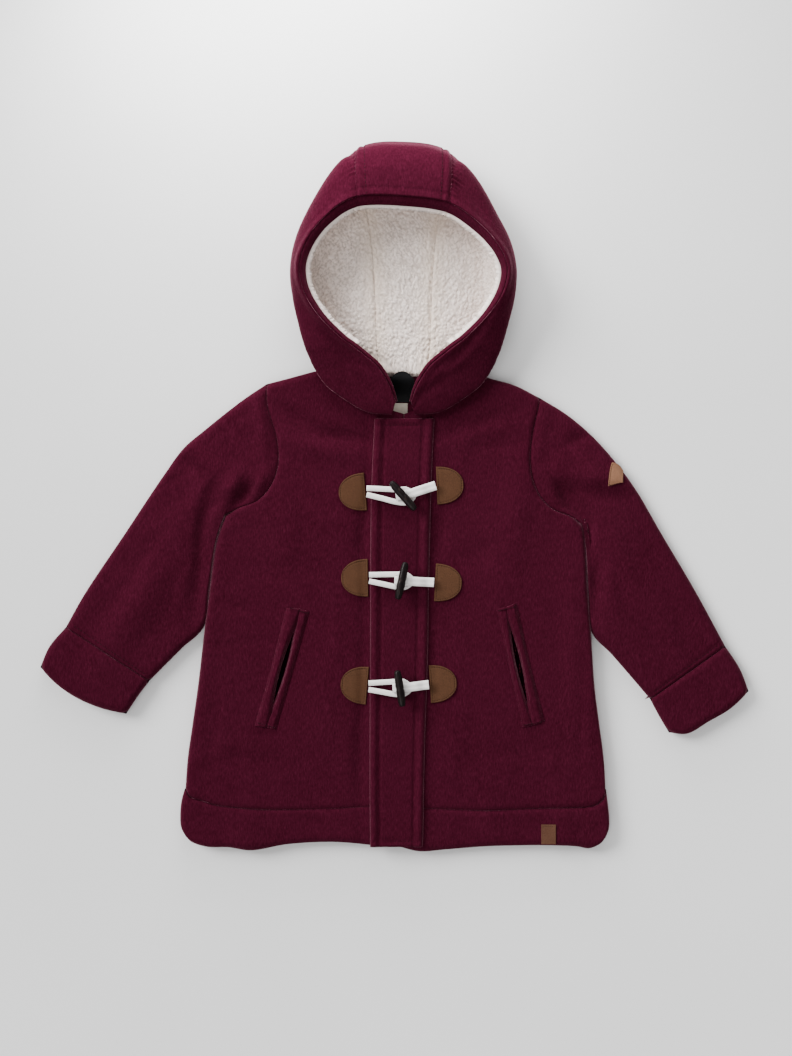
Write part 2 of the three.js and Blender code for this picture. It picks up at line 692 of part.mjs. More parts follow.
function sleevePlan(side) {
  const armhole = reversed(chords(curve(ARMHOLE, side), ARMHOLE_STEPS, (-towards[side] * SEAM_GAP) / 2));
  const outer = curve(SLEEVE_OUTER, side);
  const inner = curve(SLEEVE_INNER, side);
  const away = point(towards[side] * SEAM_GAP * 2, SEAM_GAP);
  // The armhole bows into the body, and the bow fades fastest beside the underarm
  const chord = straight(armhole(0), armhole(1));
  return (u, v) => {
    const reach = 0.01 + BOW_REACH * (1 - u) ** 1.3;
    const bow = armhole(u).sub(chord(u)).multiplyScalar(Math.max(0, 1 - v / reach));
    return outer(v).lerp(inner(v), u).add(bow).add(away);
  };
}

const FOLDED = { start: always(FULL_TURN), end: always(FULL_TURN) };
const SLEEVE_TURNS = { ...FOLDED, near: always(SEAM_TURN), far: always(SEAM_TURN) };

function buildSleeve(side) {
  const even = Array.from({ length: SLEEVE_STEPS - 1 }, (_, i) => (i + 1) / SLEEVE_STEPS);
  buildTube(
    `sleeve_${side}`,
    sleevePlan(side),
    SLEEVE_HEIGHT,
    [0, 0.03, ...even, 0.97, 1],
    SLEEVE_TURNS,
    { ...FOLDED, near: always(FLAT), far: always(FLAT) },
  );
}

function buildCuff(side) {
  const outer = curve(CUFF_OUTER, side);
  const inner = curve(CUFF_INNER, side);
  const end = curve(CUFF_END, side);
  const away = point(towards[side] * SEAM_GAP * 1.5, -SEAM_GAP);
  const flat = plan(
    (v) => outer(v).add(away),
    (v) => inner(v).add(away),
    straight(outer(0).add(away), inner(0).add(away)),
    (u) => end(u).add(away),
  );
  buildTube(
    `cuff_${side}`,
    flat,
    CUFF_HEIGHT,
    [0, 0.12, 0.88, 1],
    { ...FOLDED, near: always(SEAM_TURN), far: always(HEM_TURN) },
    { ...FOLDED, near: always(FLAT), far: always(SEAM_TURN) },
  );
}

// A strip that lies on the chest, from a plan and a thickness at each place
function onChest(name, rows, columns, place, thickness, material) {
  const under = rows.map((v) => columns.map((u) => {
    const spot = place(u, v);
    return point(spot.x, spot.y, chestTop(spot.x, spot.y) + REST_GAP);
  }));
  const over = under.map((row, i) => row.map((spot, j) => (
    point(spot.x, spot.y, spot.z + thickness(columns[j], rows[i]))
  )));
  add(name, wall(over, under), material);
}

function buildPlacket() {
  const left = curve(PLACKET.map(({ leftX, y }) => ({ x: leftX, y })));
  const right = curve(PLACKET.map(({ rightX, y }) => ({ x: rightX, y })));
  const width = PLACKET[0].rightX - PLACKET[0].leftX;
  const ridge = RIDGE_WIDTH / width;
  const ridgeStops = [0, 0.15, 0.9, 1.15].map((share) => share * ridge);
  const columns = [...ridgeStops, 0.5, ...ridgeStops.map((stop) => 1 - stop).reverse()];
  const raised = (u) => {
    const fromEdge = Math.min(u, 1 - u);
    const turnedEdge = fromEdge === 0 ? -PLACKET_CLOTH * 0.35 : 0;
    return turnedEdge + (fromEdge < ridge ? PLACKET_RIDGE : 0);
  };
  const place = (u, v) => left(v).lerp(right(v), u);
  onChest('placket', evenly(16), columns, place, (u) => PLACKET_CLOTH + raised(u), WOOL);
}

function buildWelts() {
  for (const welt of WELT) {
    const slit = straight(point(welt.slitX, welt.slitY), point(welt.endX, welt.endY));
    const outer = straight(point(welt.outerX, welt.outerY), point(welt.outerEndX, welt.outerEndY));
    const thickness = (u) => WELT_CLOTH * (u === 1 ? 0.5 : 1);
    const place = (u, v) => slit(v).lerp(outer(v), u);
    onChest(`welt_${welt.side}`, evenly(8), [0, 0.2, 0.8, 1], place, thickness, WOOL);
  }
}

// A patch with one straight edge and a round point, sewn on beside the placket
function buildPatch(name, x, y, turn) {
  const angle = THREE.MathUtils.degToRad(turn);
  const along = point(Math.cos(angle), Math.sin(angle));
  const across = point(-along.y, along.x);
  const place = (u, v) => {
    const reach = Math.sin((u * Math.PI) / 2);
    const half = (PATCH_HEIGHT / 2) * Math.sqrt(1 - reach ** PATCH_ROUNDNESS) + PATCH_TIP;
    const middle = point(x, y).addScaledVector(along, reach * PATCH_LENGTH);
    return middle.addScaledVector(across, (v - 0.5) * 2 * half);
  };
  const rows = [0, 0.06, 0.35, 0.65, 0.94, 1];
  const columns = [0, 0.04, 0.2, 0.36, 0.52, 0.68, 0.84, 1];
  const worn = (u, v) => LEATHER * (u === 0 || u === 1 || v === 0 || v === 1 ? 0.6 : 1);
  onChest(name, rows, columns, place, worn, BROWN_LEATHER);
}

// A flat braid along a path, six-sided in section
function braid(path, width, steps) {
  const spline = new THREE.CatmullRomCurve3(path, false, 'centripetal');
  return lofted(Array.from({ length: steps + 1 }, (_, i) => {
    const middle = spline.getPointAt(i / steps);
    const along = spline.getTangentAt(i / steps);
    const across = point(-along.y, along.x).normalize();
    const up = along.clone().cross(across).multiplyScalar(-1);
    return [[-1, 0], [-0.6, 1], [0.6, 1], [1, 0], [0.6, -1], [-0.6, -1]].map(([a, b]) => (
      middle.clone().addScaledVector(across, (a * width) / 2).addScaledVector(up, (b * CORD_THICK) / 2)
    ));
  }));
}

const PLACKET_TOP = BODY_HEIGHT + REST_GAP + PLACKET_CLOTH + PLACKET_RIDGE;
const LOOP_LEVEL = PLACKET_TOP + REST_GAP + CORD_THICK / 2;
const STEM_LEVEL = LOOP_LEVEL + CORD_THICK + REST_GAP;
const TOGGLE_LEVEL = STEM_LEVEL + CORD_THICK / 2 + REST_GAP + TOGGLE_RADIUS;

function buildClosure(closure) {
  const from = point(closure.fromX, closure.fromY);
  const to = point(closure.toX, closure.toY);
  const middle = from.clone().lerp(to, 0.5);

  const length = from.distanceTo(to);
  const outline = TOGGLE_PROFILE.map(({ radius, along }) => (
    new THREE.Vector2(radius * TOGGLE_RADIUS, (along - 0.5) * length)
  ));
  const horn = new THREE.LatheGeometry(outline, TOGGLE_SIDES);
  const toggle = new THREE.Mesh(horn, HORN);
  toggle.name = `toggle_${closure.name}`;
  toggle.position.set(middle.x, middle.y, TOGGLE_LEVEL);
  toggle.quaternion.setFromUnitVectors(point(0, 1, 0), to.clone().sub(from).normalize());
  coat.add(toggle);

  // The loop leaves the left patch as two strands, spreads, and closes beyond the toggle
  const startX = closure.leftX + 1.2;
  const apart = CORD_WIDTH / 2 + 0.35;
  const spread = apart + 3.2;
  const strand = (sign) => {
    const first = point(startX, closure.leftY + sign * apart, LOOP_LEVEL + 0.2);
    const wide = point(middle.x - 5, middle.y + sign * spread, LOOP_LEVEL);
    return [first, first.clone().lerp(wide, 0.5), wide, point(middle.x + 4, wide.y, LOOP_LEVEL)];
  };
  const loop = [...strand(1), point(middle.x + 11, middle.y, LOOP_LEVEL), ...strand(-1).reverse()];
  add(`loop_${closure.name}`, braid(loop, CORD_WIDTH, 22), COTTON);

  // The stem of two strands leaves the right patch, crosses the loop and holds the toggle
  const stemX = closure.rightX - 1.2;
  const stemAt = (share, z) => point(
    lerp(stemX, middle.x, share), lerp(closure.rightY, middle.y, share), z,
  );
  const stem = [
    stemAt(0, LOOP_LEVEL + 0.2),
    stemAt(0.2, LOOP_LEVEL + 0.2),
    stemAt(0.45, STEM_LEVEL),
    stemAt(0.8, STEM_LEVEL),
    point(middle.x - 7.5, middle.y, STEM_LEVEL),
  ];
  add(`stem_${closure.name}`, braid(stem, CORD_WIDTH * 1.8, 10), COTTON);

  buildPatch(`patch_${closure.name}_left`, closure.leftX, closure.leftY, closure.leftTurn);
  buildPatch(`patch_${closure.name}_right`, closure.rightX, closure.rightY, closure.rightTurn);
}

// One smooth section of the hood, at a place between two rows of its table
const hoodTracks = ['rim', 'side', 'under', 'seam'].map((name) => new THREE.CatmullRomCurve3(
  HOOD.map((row) => point(row[`${name}H`], row[`${name}Y`], row[`${name}Z`])), false, 'catmullrom', 0.5,
));
const lipWidths = HOOD.map((row, i) => point(row.lip, i));
const lipTrack = new THREE.CatmullRomCurve3(lipWidths, false, 'catmullrom', 0.5);

// A point of the hood: seen from above, the opening is turned a little, so its rim tilts
function hoodPoint(half, side) {
  const x = HOOD_MIDDLE + towards[side] * half.x;
  const tilt = RIM_TILT * (x - HOOD_MIDDLE) * clamp((half.y - RIM_TILT_FROM) / RIM_TILT_FADE, 0, 1);
  const high = clamp(half.z / HOOD[0].rimZ, 0, 1);
  return point(x, half.y - tilt * high, Math.max(0, half.z));
}

function hoodSide(side) {
  return Array.from({ length: HOOD_ROWS + 1 }, (_, i) => {
    const along = i / HOOD_ROWS;
    const section = new THREE.CatmullRomCurve3(
      hoodTracks.map((track) => track.getPoint(along)), false, 'centripetal',
    );
    return Array.from({ length: HOOD_COLUMNS + 1 }, (__, j) => (
      hoodPoint(section.getPointAt(j / HOOD_COLUMNS), side)
    ));
  });
}

const NECK_ROW = Math.round((NECK_SECTION / (HOOD.length - 1)) * HOOD_ROWS);
const hoodSides = { left: hoodSide('left'), right: hoodSide('right') };

// The middle seam of a side: over the crown along its first section, then down the back
function middleSeam(side) {
  const grid = hoodSides[side];
  const over = grid[0];
  const down = grid.slice(1, NECK_ROW + 1).map((row) => row[HOOD_COLUMNS]);
  return [...over, ...down];
}

function hoodGusset() {
  const left = middleSeam('left');
  const right = middleSeam('right');
  const crown = HOOD_COLUMNS;
  return left.map((spot, i) => Array.from({ length: GUSSET_STEPS + 1 }, (_, j) => {
    const share = j / GUSSET_STEPS;
    const inset = SEAM_GAP / spot.distanceTo(right[i]);
    const place = spot.clone().lerp(right[i], lerp(inset, 1 - inset, share));
    const bow = 4 * share * (1 - share);
    const overCrown = i <= crown ? lerp(0.38, 1, smooth(i / crown, 0, 1)) : clamp(place.z / 14, 0, 1);
    place.y += CROWN_BULGE * bow * overCrown;
    place.z += place.z > 40 ? 1.2 * bow : 0;
    return place;
  }));
}

const inHood = point(HOOD_MIDDLE, 225, 45);
const fromHood = (spot) => spot.clone().sub(inHood);

// Normals of the three hood pieces, with one shared normal at each place of a seam
function hoodNormals(gusset) {
  const middle = normals(gusset, fromHood);
  const found = { middle };
  for (const side of SIDES) {
    const out = normals(hoodSides[side], fromHood);
    const column = side === 'left' ? 0 : GUSSET_STEPS;
    const seam = [...out[0], ...out.slice(1, NECK_ROW + 1).map((row) => row[HOOD_COLUMNS])];
    seam.forEach((normal, i) => {
      normal.add(middle[i][column]).normalize();
      middle[i][column].copy(normal);
    });
    found[side] = out;
  }
  return found;
}

// The rim of the opening, from the point of the V up the left side, over the top and down the right
function rimStations(gusset, out) {
  const ofSide = (side) => hoodSides[side].map((row, i) => (
    { spot: row[0], normal: out[side][i][0], along: i / HOOD_ROWS }
  ));
  const top = gusset[0].slice(1, -1).map((spot, j) => ({ spot, normal: out.middle[0][j + 1], along: 0 }));
  const stations = [...ofSide('left').reverse(), ...top, ...ofSide('right')];
  return stations.map(({ spot, normal, along }, i) => {
    const before = stations[Math.max(i - 1, 0)].spot;
    const after = stations[Math.min(i + 1, stations.length - 1)].spot;
    const way = level(before, after);
    const into = point(way.y, -way.x);
    const lip = lipTrack.getPoint(along).x;
    const root = spot.clone().addScaledVector(normal, -HOOD_WOOL - REST_GAP);
    const edge = spot.clone().addScaledVector(into, lip).add(point(0, 0, -LIP_SLOPE * lip));
    return { root, edge, into };
  });
}

// The turned band: from under the wool at the rim to its own folded edge
function buildBand(stations) {
  const down = point(0, 0, -BAND_CLOTH);
  add('hood_band', lofted(stations.map(({ root, edge }) => (
    [root, edge, edge.clone().add(down), root.clone().add(down)]
  ))), WOOL);
}

// The pile lining of one hood piece, behind the band at the rim and then along the wool
function buildLining(name, grid, directions, stations) {
  const behind = grid.map((row, i) => {
    const { edge } = stations[i];
    const start = edge.clone().add(point(0, 0, -BAND_CLOTH - REST_GAP));
    return [start, ...row.slice(2).map((spot, j) => (
      spot.clone().addScaledVector(directions[i][j + 2], -HOOD_WOOL - REST_GAP)
    ))];
  });
  const front = behind.map((row, i) => row.map((spot, j) => (
    j === 0
      ? spot.clone().addScaledVector(stations[i].into, SHERPA)
      : spot.clone().addScaledVector(directions[i][j + 1], -SHERPA)
  )));
  add(name, wall(behind, front), SHERPA_PILE);
}

const transposed = (grid) => grid[0].map((_, j) => grid.map((row) => row[j]));

function buildHood() {
  const gusset = hoodGusset();
  const out = hoodNormals(gusset);
  add('hood_middle', wall(gusset, movedIn(gusset, out.middle, HOOD_WOOL)), HOOD_TOP_WOOL);
  for (const side of SIDES) {
    const grid = hoodSides[side];
    add(`hood_${side}`, wall(grid, movedIn(grid, out[side], HOOD_WOOL)), HOOD_TOP_WOOL);
  }

  const stations = rimStations(gusset, out);
  buildBand(stations);
  const last = stations.length - 1;
  const rows = NECK_ROW + 1;
  const rim = {
    left: stations.slice(0, HOOD_ROWS + 1).reverse(),
    right: stations.slice(last - HOOD_ROWS),
  };
  for (const side of SIDES) {
    buildLining(`lining_${side}`, hoodSides[side].slice(0, rows), out[side], rim[side]);
  }
  buildLining(
    'lining_middle',
    transposed(gusset),
    transposed(out.middle),
    stations.slice(HOOD_ROWS, last - HOOD_ROWS + 1),
  );
}

// A flat label inside the neck, with a top edge that may be arched
function buildNeckLabel(name, label, arch, material) {
  const back = BODY_CLOTH + REST_GAP;
  const row = (height, z) => evenly(6).map((share) => {
    const across = 2 * share - 1;
    const top = label.top - arch * across * across;
    return point(label.x + (across * label.width) / 2, lerp(label.bottom, top, height), z);
  });
  const under = [row(0, back), row(1, back)];
  const over = [row(0, back + LABEL_CLOTH), row(1, back + LABEL_CLOTH)];
  add(name, wall(over, under), material);
}

function buildHemLabel() {
  const corners = [point(HEM_LABEL.left, HEM_LABEL.bottom), point(HEM_LABEL.right, HEM_LABEL.bottom)];
  const rise = point(0, HEM_LABEL.top - HEM_LABEL.bottom);
  const place = (u, v) => corners[0].clone().lerp(corners[1], u).addScaledVector(rise, v);
  onChest('hem_label', [0, 0.5, 1], [0, 0.5, 1], place, () => LABEL_CLOTH, TAN_LEATHER);
}

// The small leather patch beside the outer edge of the right sleeve
function buildSleevePatch() {
  const flat = sleevePlan('right');
  const surface = laid(flat, SLEEVE_HEIGHT, 1, SLEEVE_TURNS);
  const [lowLeft, lowRight, highLeft, highRight] = SLEEVE_PATCH;
  const spot = (across, rise) => {
    const mixed = (key) => lerp(
      lerp(lowLeft[key], lowRight[key], across), lerp(highLeft[key], highRight[key], across), rise,
    );
    const inset = mixed('inset') - SLEEVE_PATCH_BOW * 4 * across * (1 - across) * rise ** 2;
    const v = mixed('along');
    return surface(inset / flat(0, v).distanceTo(flat(1, v)), v);
  };
  const grid = evenly(6).map((rise) => evenly(6).map((across) => spot(across, rise)));
  const out = normals(grid, UPWARDS);
  const under = movedIn(grid, out, -2 * REST_GAP);
  add('sleeve_patch', wall(movedIn(under, out, -LABEL_CLOTH), under), TAN_LEATHER);
}

buildBack();
buildHemBack();
SIDES.forEach(buildFront);
SIDES.forEach(buildHemFront);
SIDES.forEach(buildSleeve);
SIDES.forEach(buildCuff);
buildPlacket();
buildWelts();
CLOSURES.forEach(buildClosure);
buildHood();
buildNeckLabel('neck_label', NECK_LABEL, 9, BLACK_TAPE);
buildNeckLabel('size_tag', SIZE_TAG, 0, COTTON);
buildHemLabel();
buildSleevePatch();

// The part stands on the middle of its underside
const whole = new THREE.Box3().setFromObject(coat, true);
const middle = whole.getCenter(point(0, 0));
coat.position.set(-middle.x, -middle.y, -whole.min.z);

export default coat;
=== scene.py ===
"""A toddler's duffle coat in burgundy wool, fastened with toggles and laid flat on its back.

The pieces are made here in millimetres, in the frame in which the coat was drawn, and moved into
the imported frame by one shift. +X is to the right as seen from above, +Y towards the hood, +Z up.
"""
import math

import bpy
import numpy as np
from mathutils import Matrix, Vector, noise


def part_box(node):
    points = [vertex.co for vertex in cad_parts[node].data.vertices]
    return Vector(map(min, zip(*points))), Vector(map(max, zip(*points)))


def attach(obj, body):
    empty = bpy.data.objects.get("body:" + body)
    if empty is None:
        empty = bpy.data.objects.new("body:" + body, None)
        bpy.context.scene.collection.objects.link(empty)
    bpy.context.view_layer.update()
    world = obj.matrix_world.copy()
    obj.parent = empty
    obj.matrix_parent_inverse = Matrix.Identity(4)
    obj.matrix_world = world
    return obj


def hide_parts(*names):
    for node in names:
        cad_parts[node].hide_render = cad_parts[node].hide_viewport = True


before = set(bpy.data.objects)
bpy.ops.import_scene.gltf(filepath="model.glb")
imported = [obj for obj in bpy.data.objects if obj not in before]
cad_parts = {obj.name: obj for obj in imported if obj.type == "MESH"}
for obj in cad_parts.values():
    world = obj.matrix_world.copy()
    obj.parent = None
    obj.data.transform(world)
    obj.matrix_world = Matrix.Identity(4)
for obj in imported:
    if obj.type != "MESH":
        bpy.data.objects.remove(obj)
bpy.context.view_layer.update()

# Thicknesses and heights of the laid coat
BODY_CLOTH = 5.4
SLEEVE_CLOTH = 4.8
HOOD_WOOL = 2.6
SHERPA = 5.5
BAND_CLOTH = 2.6
LEATHER = 2.0
LABEL_CLOTH = 0.9
SEAM_GAP = 0.12
REST_GAP = 0.35
BODY_HEIGHT = 14.6
SLEEVE_HEIGHT = 13.4
CUFF_HEIGHT = 15.0
EDGE_TURN = 7.5
DEEPEST = 5.3
FULL_TURN, SEAM_TURN, HEM_TURN, FLAT = 1.0, 0.48, 0.75, 0.0
UNDERARM_SHARE = 0.62
NECK_SHARE = 0.5
BOW_REACH = 0.4

# Each table's rows: left x, left y, right x, right y
SIDE_SEAM = [
    (-176.4, -20.5, 198.3, -31.5), (-185.2, -46.7, 200.9, -49.3), (-192.0, -94.3, 203.0, -96.4),
    (-197.8, -139.3, 206.7, -143.5), (-204.6, -198.0, 210.3, -198.0), (-210.0, -236.0, 215.0, -236.0),
    (-215.5, -275.0, 220.0, -275.0), (-217.7, -305.7, 221.8, -306.7),
]
ARMHOLE = [
    (-176.4, -20.5, 198.3, -31.5), (-161.0, -12.5, 187.0, -22.5), (-143.0, -5.5, 165.0, -13.0),
    (-129.0, 9.0, 149.5, 6.0), (-120.5, 32.0, 142.8, 33.0), (-122.0, 60.0, 144.5, 62.0),
    (-131.5, 95.0, 150.0, 88.0), (-132.4, 117.1, 153.2, 102.4),
]
SHOULDER = [
    (-57.9, 135.7, 78.3, 131.7), (-81.1, 130.7, 101.0, 122.9), (-108.3, 123.4, 126.1, 116.0),
    (-132.4, 117.1, 153.2, 102.4),
]
FRONT_NECK = [
    (10.8, 85.4, 11.2, 85.4), (-14.0, 93.8, 34.6, 93.8), (-33.0, 106.3, 53.6, 105.6),
    (-47.5, 120.9, 68.4, 119.0), (-57.9, 135.7, 78.3, 131.7),
]
BACK_NECK = [
    (10.3, 129.8, 10.3, 129.8), (-18.0, 129.8, 38.6, 129.6), (-42.0, 132.2, 62.5, 130.6),
    (-57.9, 135.7, 78.3, 131.7),
]
HEM_SEAM = [
    (3.3, -326.0, 3.7, -326.0), (-25.6, -324.8, 33.0, -326.6), (-63.0, -326.6, 66.0, -327.7),
    (-104.0, -327.7, 96.5, -328.6), (-137.0, -327.6, 147.0, -326.6), (-161.0, -325.9, 180.0, -325.8),
    (-184.0, -323.2, 201.0, -325.0), (-199.0, -318.6, 213.0, -322.0), (-212.4, -314.0, 220.0, -315.0),
    (-217.7, -305.7, 221.8, -306.7),
]
HEM_BOTTOM = [
    (6.6, -366.9, 7.0, -367.0), (-23.6, -365.0, 26.7, -371.6), (-43.4, -363.0, 57.0, -369.5),
    (-67.5, -361.8, 96.8, -366.4), (-111.5, -364.3, 125.0, -365.6), (-149.0, -370.6, 155.0, -365.3),
    (-173.0, -367.4, 191.0, -366.4), (-195.2, -366.9, 205.0, -368.5), (-211.0, -362.0, 216.5, -363.5),
    (-217.5, -356.5, 222.0, -357.5),
]
HEM_SIDE = [
    (-217.5, -356.5, 222.0, -357.5), (-222.5, -346.0, 225.6, -347.0), (-223.3, -332.0, 225.6, -333.0),
    (-221.8, -318.0, 224.0, -320.0), (-218.3, -306.1, 222.4, -307.1),
]
SLEEVE_OUTER = [
    (-132.4, 117.1, 153.2, 102.4), (-157.5, 100.4, 182.0, 84.5), (-197.3, 69.0, 209.8, 60.6),
    (-219.5, 50.0, 231.0, 36.8), (-240.2, 21.9, 253.1, 7.2), (-282.0, -40.9, 281.0, -40.7),
    (-323.9, -103.7, 316.0, -100.0), (-342.7, -137.2, 346.9, -157.1),
]
SLEEVE_INNER = [
    (-176.4, -20.5, 198.3, -31.5), (-185.6, -49.0, 201.4, -60.0), (-192.3, -96.0, 203.6, -104.0),
    (-198.4, -137.0, 207.4, -143.0), (-222.0, -160.2, 228.6, -166.5), (-255.4, -193.7, 268.4, -212.6),
]
CUFF_OUTER = [
    (-342.7, -137.2, 346.9, -157.1), (-360.0, -157.5, 362.5, -181.0), (-369.5, -179.1, 371.5, -204.2),
]
CUFF_INNER = [
    (-255.4, -193.7, 268.4, -212.6), (-267.0, -209.0, 277.0, -229.0), (-279.5, -228.0, 288.0, -247.5),
]
CUFF_END = [
    (-369.5, -179.1, 371.5, -204.2), (-353.0, -196.0, 352.0, -222.5), (-333.0, -210.0, 329.1, -236.0),
    (-307.2, -221.3, 307.0, -248.5), (-279.5, -228.0, 288.0, -247.5),
]
CENTRE_FRONT = [(3.5, -326.0), (4.0, -288.0), (6.0, -145.0), (7.5, -25.0), (11.0, 85.4)]

# Main folds: middle x and y, direction in degrees, half length, half width, height
FOLDS = [
    (-153.0, 3.0, 115, 20, 9, -2.2), (-143.0, 18.0, 110, 30, 10, 2.0), (-172.0, 8.0, 130, 26, 9, 2.6),
    (-191.0, -28.0, 84, 48, 10, -2.0), (-204.0, -20.0, 86, 50, 10, 2.2), (-214.0, 44.0, -32, 34, 11, 2.8),
    (-236.0, -28.0, 38, 34, 12, 1.8), (-262.0, -105.0, 55, 60, 15, 2.4), (-300.0, -118.0, 60, 50, 13, -1.8),
    (184.0, -1.0, 60, 18, 9, -2.2), (196.0, 18.0, -8, 34, 10, 2.8), (172.0, 30.0, 80, 30, 10, 2.2),
    (236.0, -26.0, -50, 40, 12, 2.2), (222.0, -90.0, -78, 50, 12, 2.2), (272.0, -128.0, -50, 55, 14, 2.2),
    (300.0, -150.0, -52, 45, 12, -1.8), (-112.0, -18.0, -78, 70, 16, 2.6), (128.0, -22.0, 82, 74, 16, 2.6),
    (-172.0, -190.0, 86, 80, 16, 2.4), (186.0, -180.0, 88, 84, 16, 2.2), (-150.0, -345.0, 88, 34, 18, 1.8),
    (-82.0, -330.0, 90, 36, 14, -1.2), (100.0, -335.0, 92, 40, 14, 1.6), (180.0, -340.0, 90, 34, 15, 1.8),
]

# Small creases on top of them, with the same columns
CREASES = [
    (-136.0, 60.0, 98, 26, 4.5, 0.9), (-150.0, 52.0, 80, 18, 4.0, -0.7), (-120.0, -4.0, -62, 22, 4.0, -0.6),
    (-168.0, -32.0, 20, 16, 3.6, 0.7), (-182.0, -6.0, 40, 20, 4.2, -0.8), (-196.0, 12.0, 55, 24, 5.0, 0.9),
    (-226.0, 18.0, 30, 18, 4.0, -0.7), (-248.0, -62.0, 52, 30, 5.0, 0.8), (-268.0, -80.0, 62, 26, 5.0, -0.7),
    (-290.0, -92.0, 48, 22, 4.6, 0.7), (-222.0, -104.0, 74, 30, 5.0, 0.9), (-236.0, -140.0, 60, 22, 4.6, -0.6),
    (156.0, 62.0, 84, 22, 4.4, 0.8), (168.0, 10.0, 100, 18, 4.2, -0.7), (192.0, -14.0, 70, 20, 4.4, 0.8),
    (210.0, -2.0, -30, 24, 4.4, -0.7), (226.0, 4.0, -44, 20, 4.4, 0.8), (246.0, -52.0, -58, 26, 5.0, -0.7),
    (232.0, -110.0, -66, 28, 4.8, 0.8), (258.0, -96.0, -48, 24, 4.6, -0.6), (286.0, -136.0, -50, 20, 4.6, 0.7),
    (-66.0, 62.0, -70, 30, 6.0, 0.5), (78.0, 58.0, 74, 32, 6.0, 0.5), (-98.0, -60.0, 84, 40, 6.0, -0.5),
    (104.0, -70.0, 92, 44, 6.5, 0.5), (-58.0, -150.0, 88, 50, 7.0, 0.45), (70.0, -190.0, 94, 60, 7.0, 0.45),
    (-186.0, -244.0, 84, 40, 5.5, -0.6), (-150.0, -280.0, 92, 34, 6.0, 0.6), (-100.0, -290.0, 86, 30, 6.0, -0.5),
    (166.0, -270.0, 88, 38, 6.0, 0.6), (196.0, -262.0, 96, 30, 5.0, -0.5), (120.0, -286.0, 84, 34, 6.0, 0.5),
    (-120.0, -346.0, 80, 14, 5.0, 0.6), (-176.0, -346.0, 98, 12, 5.0, -0.5), (60.0, -348.0, 86, 14, 5.0, 0.5),
    (134.0, -348.0, 96, 14, 5.0, -0.5), (206.0, -338.0, 84, 14, 5.0, 0.5), (-40.0, -346.0, 92, 14, 5.0, 0.45),
]

# Deep hollows and swells that the light catches, with the same columns
HOLLOWS = [
    (-139.5, 84.0, 100, 32, 8.0, 3.6), (-121.0, 74.0, 96, 34, 7.0, -1.2), (-155.6, 1.4, 52, 12, 4.6, -9.5),
    (-168.0, 10.0, 64, 18, 7.0, 4.4), (-140.0, 14.0, 60, 14, 5.5, 3.2), (-201.0, -36.0, 84, 26, 7.0, -4.6),
    (-219.0, 38.0, -38, 17, 8.0, -3.6), (-187.5, -25.0, 70, 24, 7.0, 2.2), (-256.0, -98.0, 61, 120, 28.0, 3.4), (-204.0, -88.0, 84, 40, 7.0, -3.6),
    (-232.0, -20.0, 62, 34, 10.0, -1.3), (-250.0, -140.0, 48, 34, 9.0, -1.2), (259.0, -98.0, -62, 120, 28.0, 3.2),
    (185.5, -6.0, -50, 27, 7.5, -9.5), (167.0, 10.0, -60, 26, 6.0, 3.6), (212.0, 24.0, -34, 32, 11.0, 4.0),
    (212.5, -92.0, 84, 34, 8.0, -4.6), (205.0, -44.0, 96, 24, 6.0, -4.2), (228.0, 2.0, -14, 20, 7.0, -2.8), (190.0, 57.0, 28, 24, 6.5, -2.6),
    (238.0, -58.0, -66, 32, 9.0, 1.6), (276.0, -152.0, -60, 34, 9.0, -2.4), (-100.0, 80.0, -38, 24, 7.5, -5.0),
    (-54.0, 61.5, -6, 32, 7.5, -5.0), (-80.0, 50.0, -16, 42, 11.0, 2.4), (92.0, 77.0, 18, 32, 8.0, -2.6),
    (112.0, 54.0, 2, 26, 10.0, -2.2), (70.0, 58.0, 20, 26, 9.0, 1.0), (-31.0, -140.0, 89, 200, 5.5, -2.0),
    (-33.0, -42.0, 88, 30, 7.0, -2.8), (-34.0, -268.0, 89, 46, 8.0, -3.2), (48.0, -44.0, 92, 24, 7.0, -2.6),
    (42.5, -130.0, 91, 160, 4.5, -0.9), (-109.0, -78.0, 2, 52, 13.0, -1.2), (-60.0, -30.0, -30, 34, 12.0, 1.0),
    (-158.0, -117.0, 0, 36, 6.0, -0.9), (-160.0, -155.0, 4, 30, 6.0, -0.7), (-168.0, -172.0, 88, 62, 11.0, -1.7),
    (-197.0, -200.0, 84, 90, 8.0, 1.8), (-140.0, -277.0, -2, 44, 8.0, -1.2), (-186.0, -268.0, 20, 24, 8.0, 0.9),
    (80.0, -64.0, 24, 40, 12.0, -1.1), (176.0, -190.0, 92, 70, 12.0, -1.3), (205.0, -230.0, 88, 70, 7.0, 1.5),
    (130.0, -268.0, 4, 50, 9.0, -0.9), (64.0, -250.0, 86, 60, 12.0, 0.9), (-70.0, -220.0, 84, 70, 12.0, 0.9),
    (-115.1, -179.8, 74.2, 46, 3.8, -3.4), (131.2, -177.8, -77.4, 46, 3.8, -3.4),
]

# Low wrinkles pressed up from the table into the underside, with the same columns
UNDER_CREASES = [
    (-150.0, 20.0, 60, 60, 6, 0.8), (160.0, 0.0, 118, 56, 6, 0.8), (-90.0, -120.0, 84, 90, 8, 0.7),
    (20.0, -60.0, 94, 120, 8, 0.7), (110.0, -210.0, 82, 90, 7, 0.8), (-40.0, -250.0, 98, 70, 7, 0.7),
    (-250.0, -60.0, 56, 60, 6, 0.8), (-290.0, -120.0, 40, 34, 5, 0.7), (250.0, -70.0, -56, 60, 6, 0.8),
    (300.0, -150.0, -40, 34, 5, 0.7), (150.0, 60.0, 80, 40, 6, 0.7), (-30.0, 60.0, 12, 50, 7, 0.6),
]

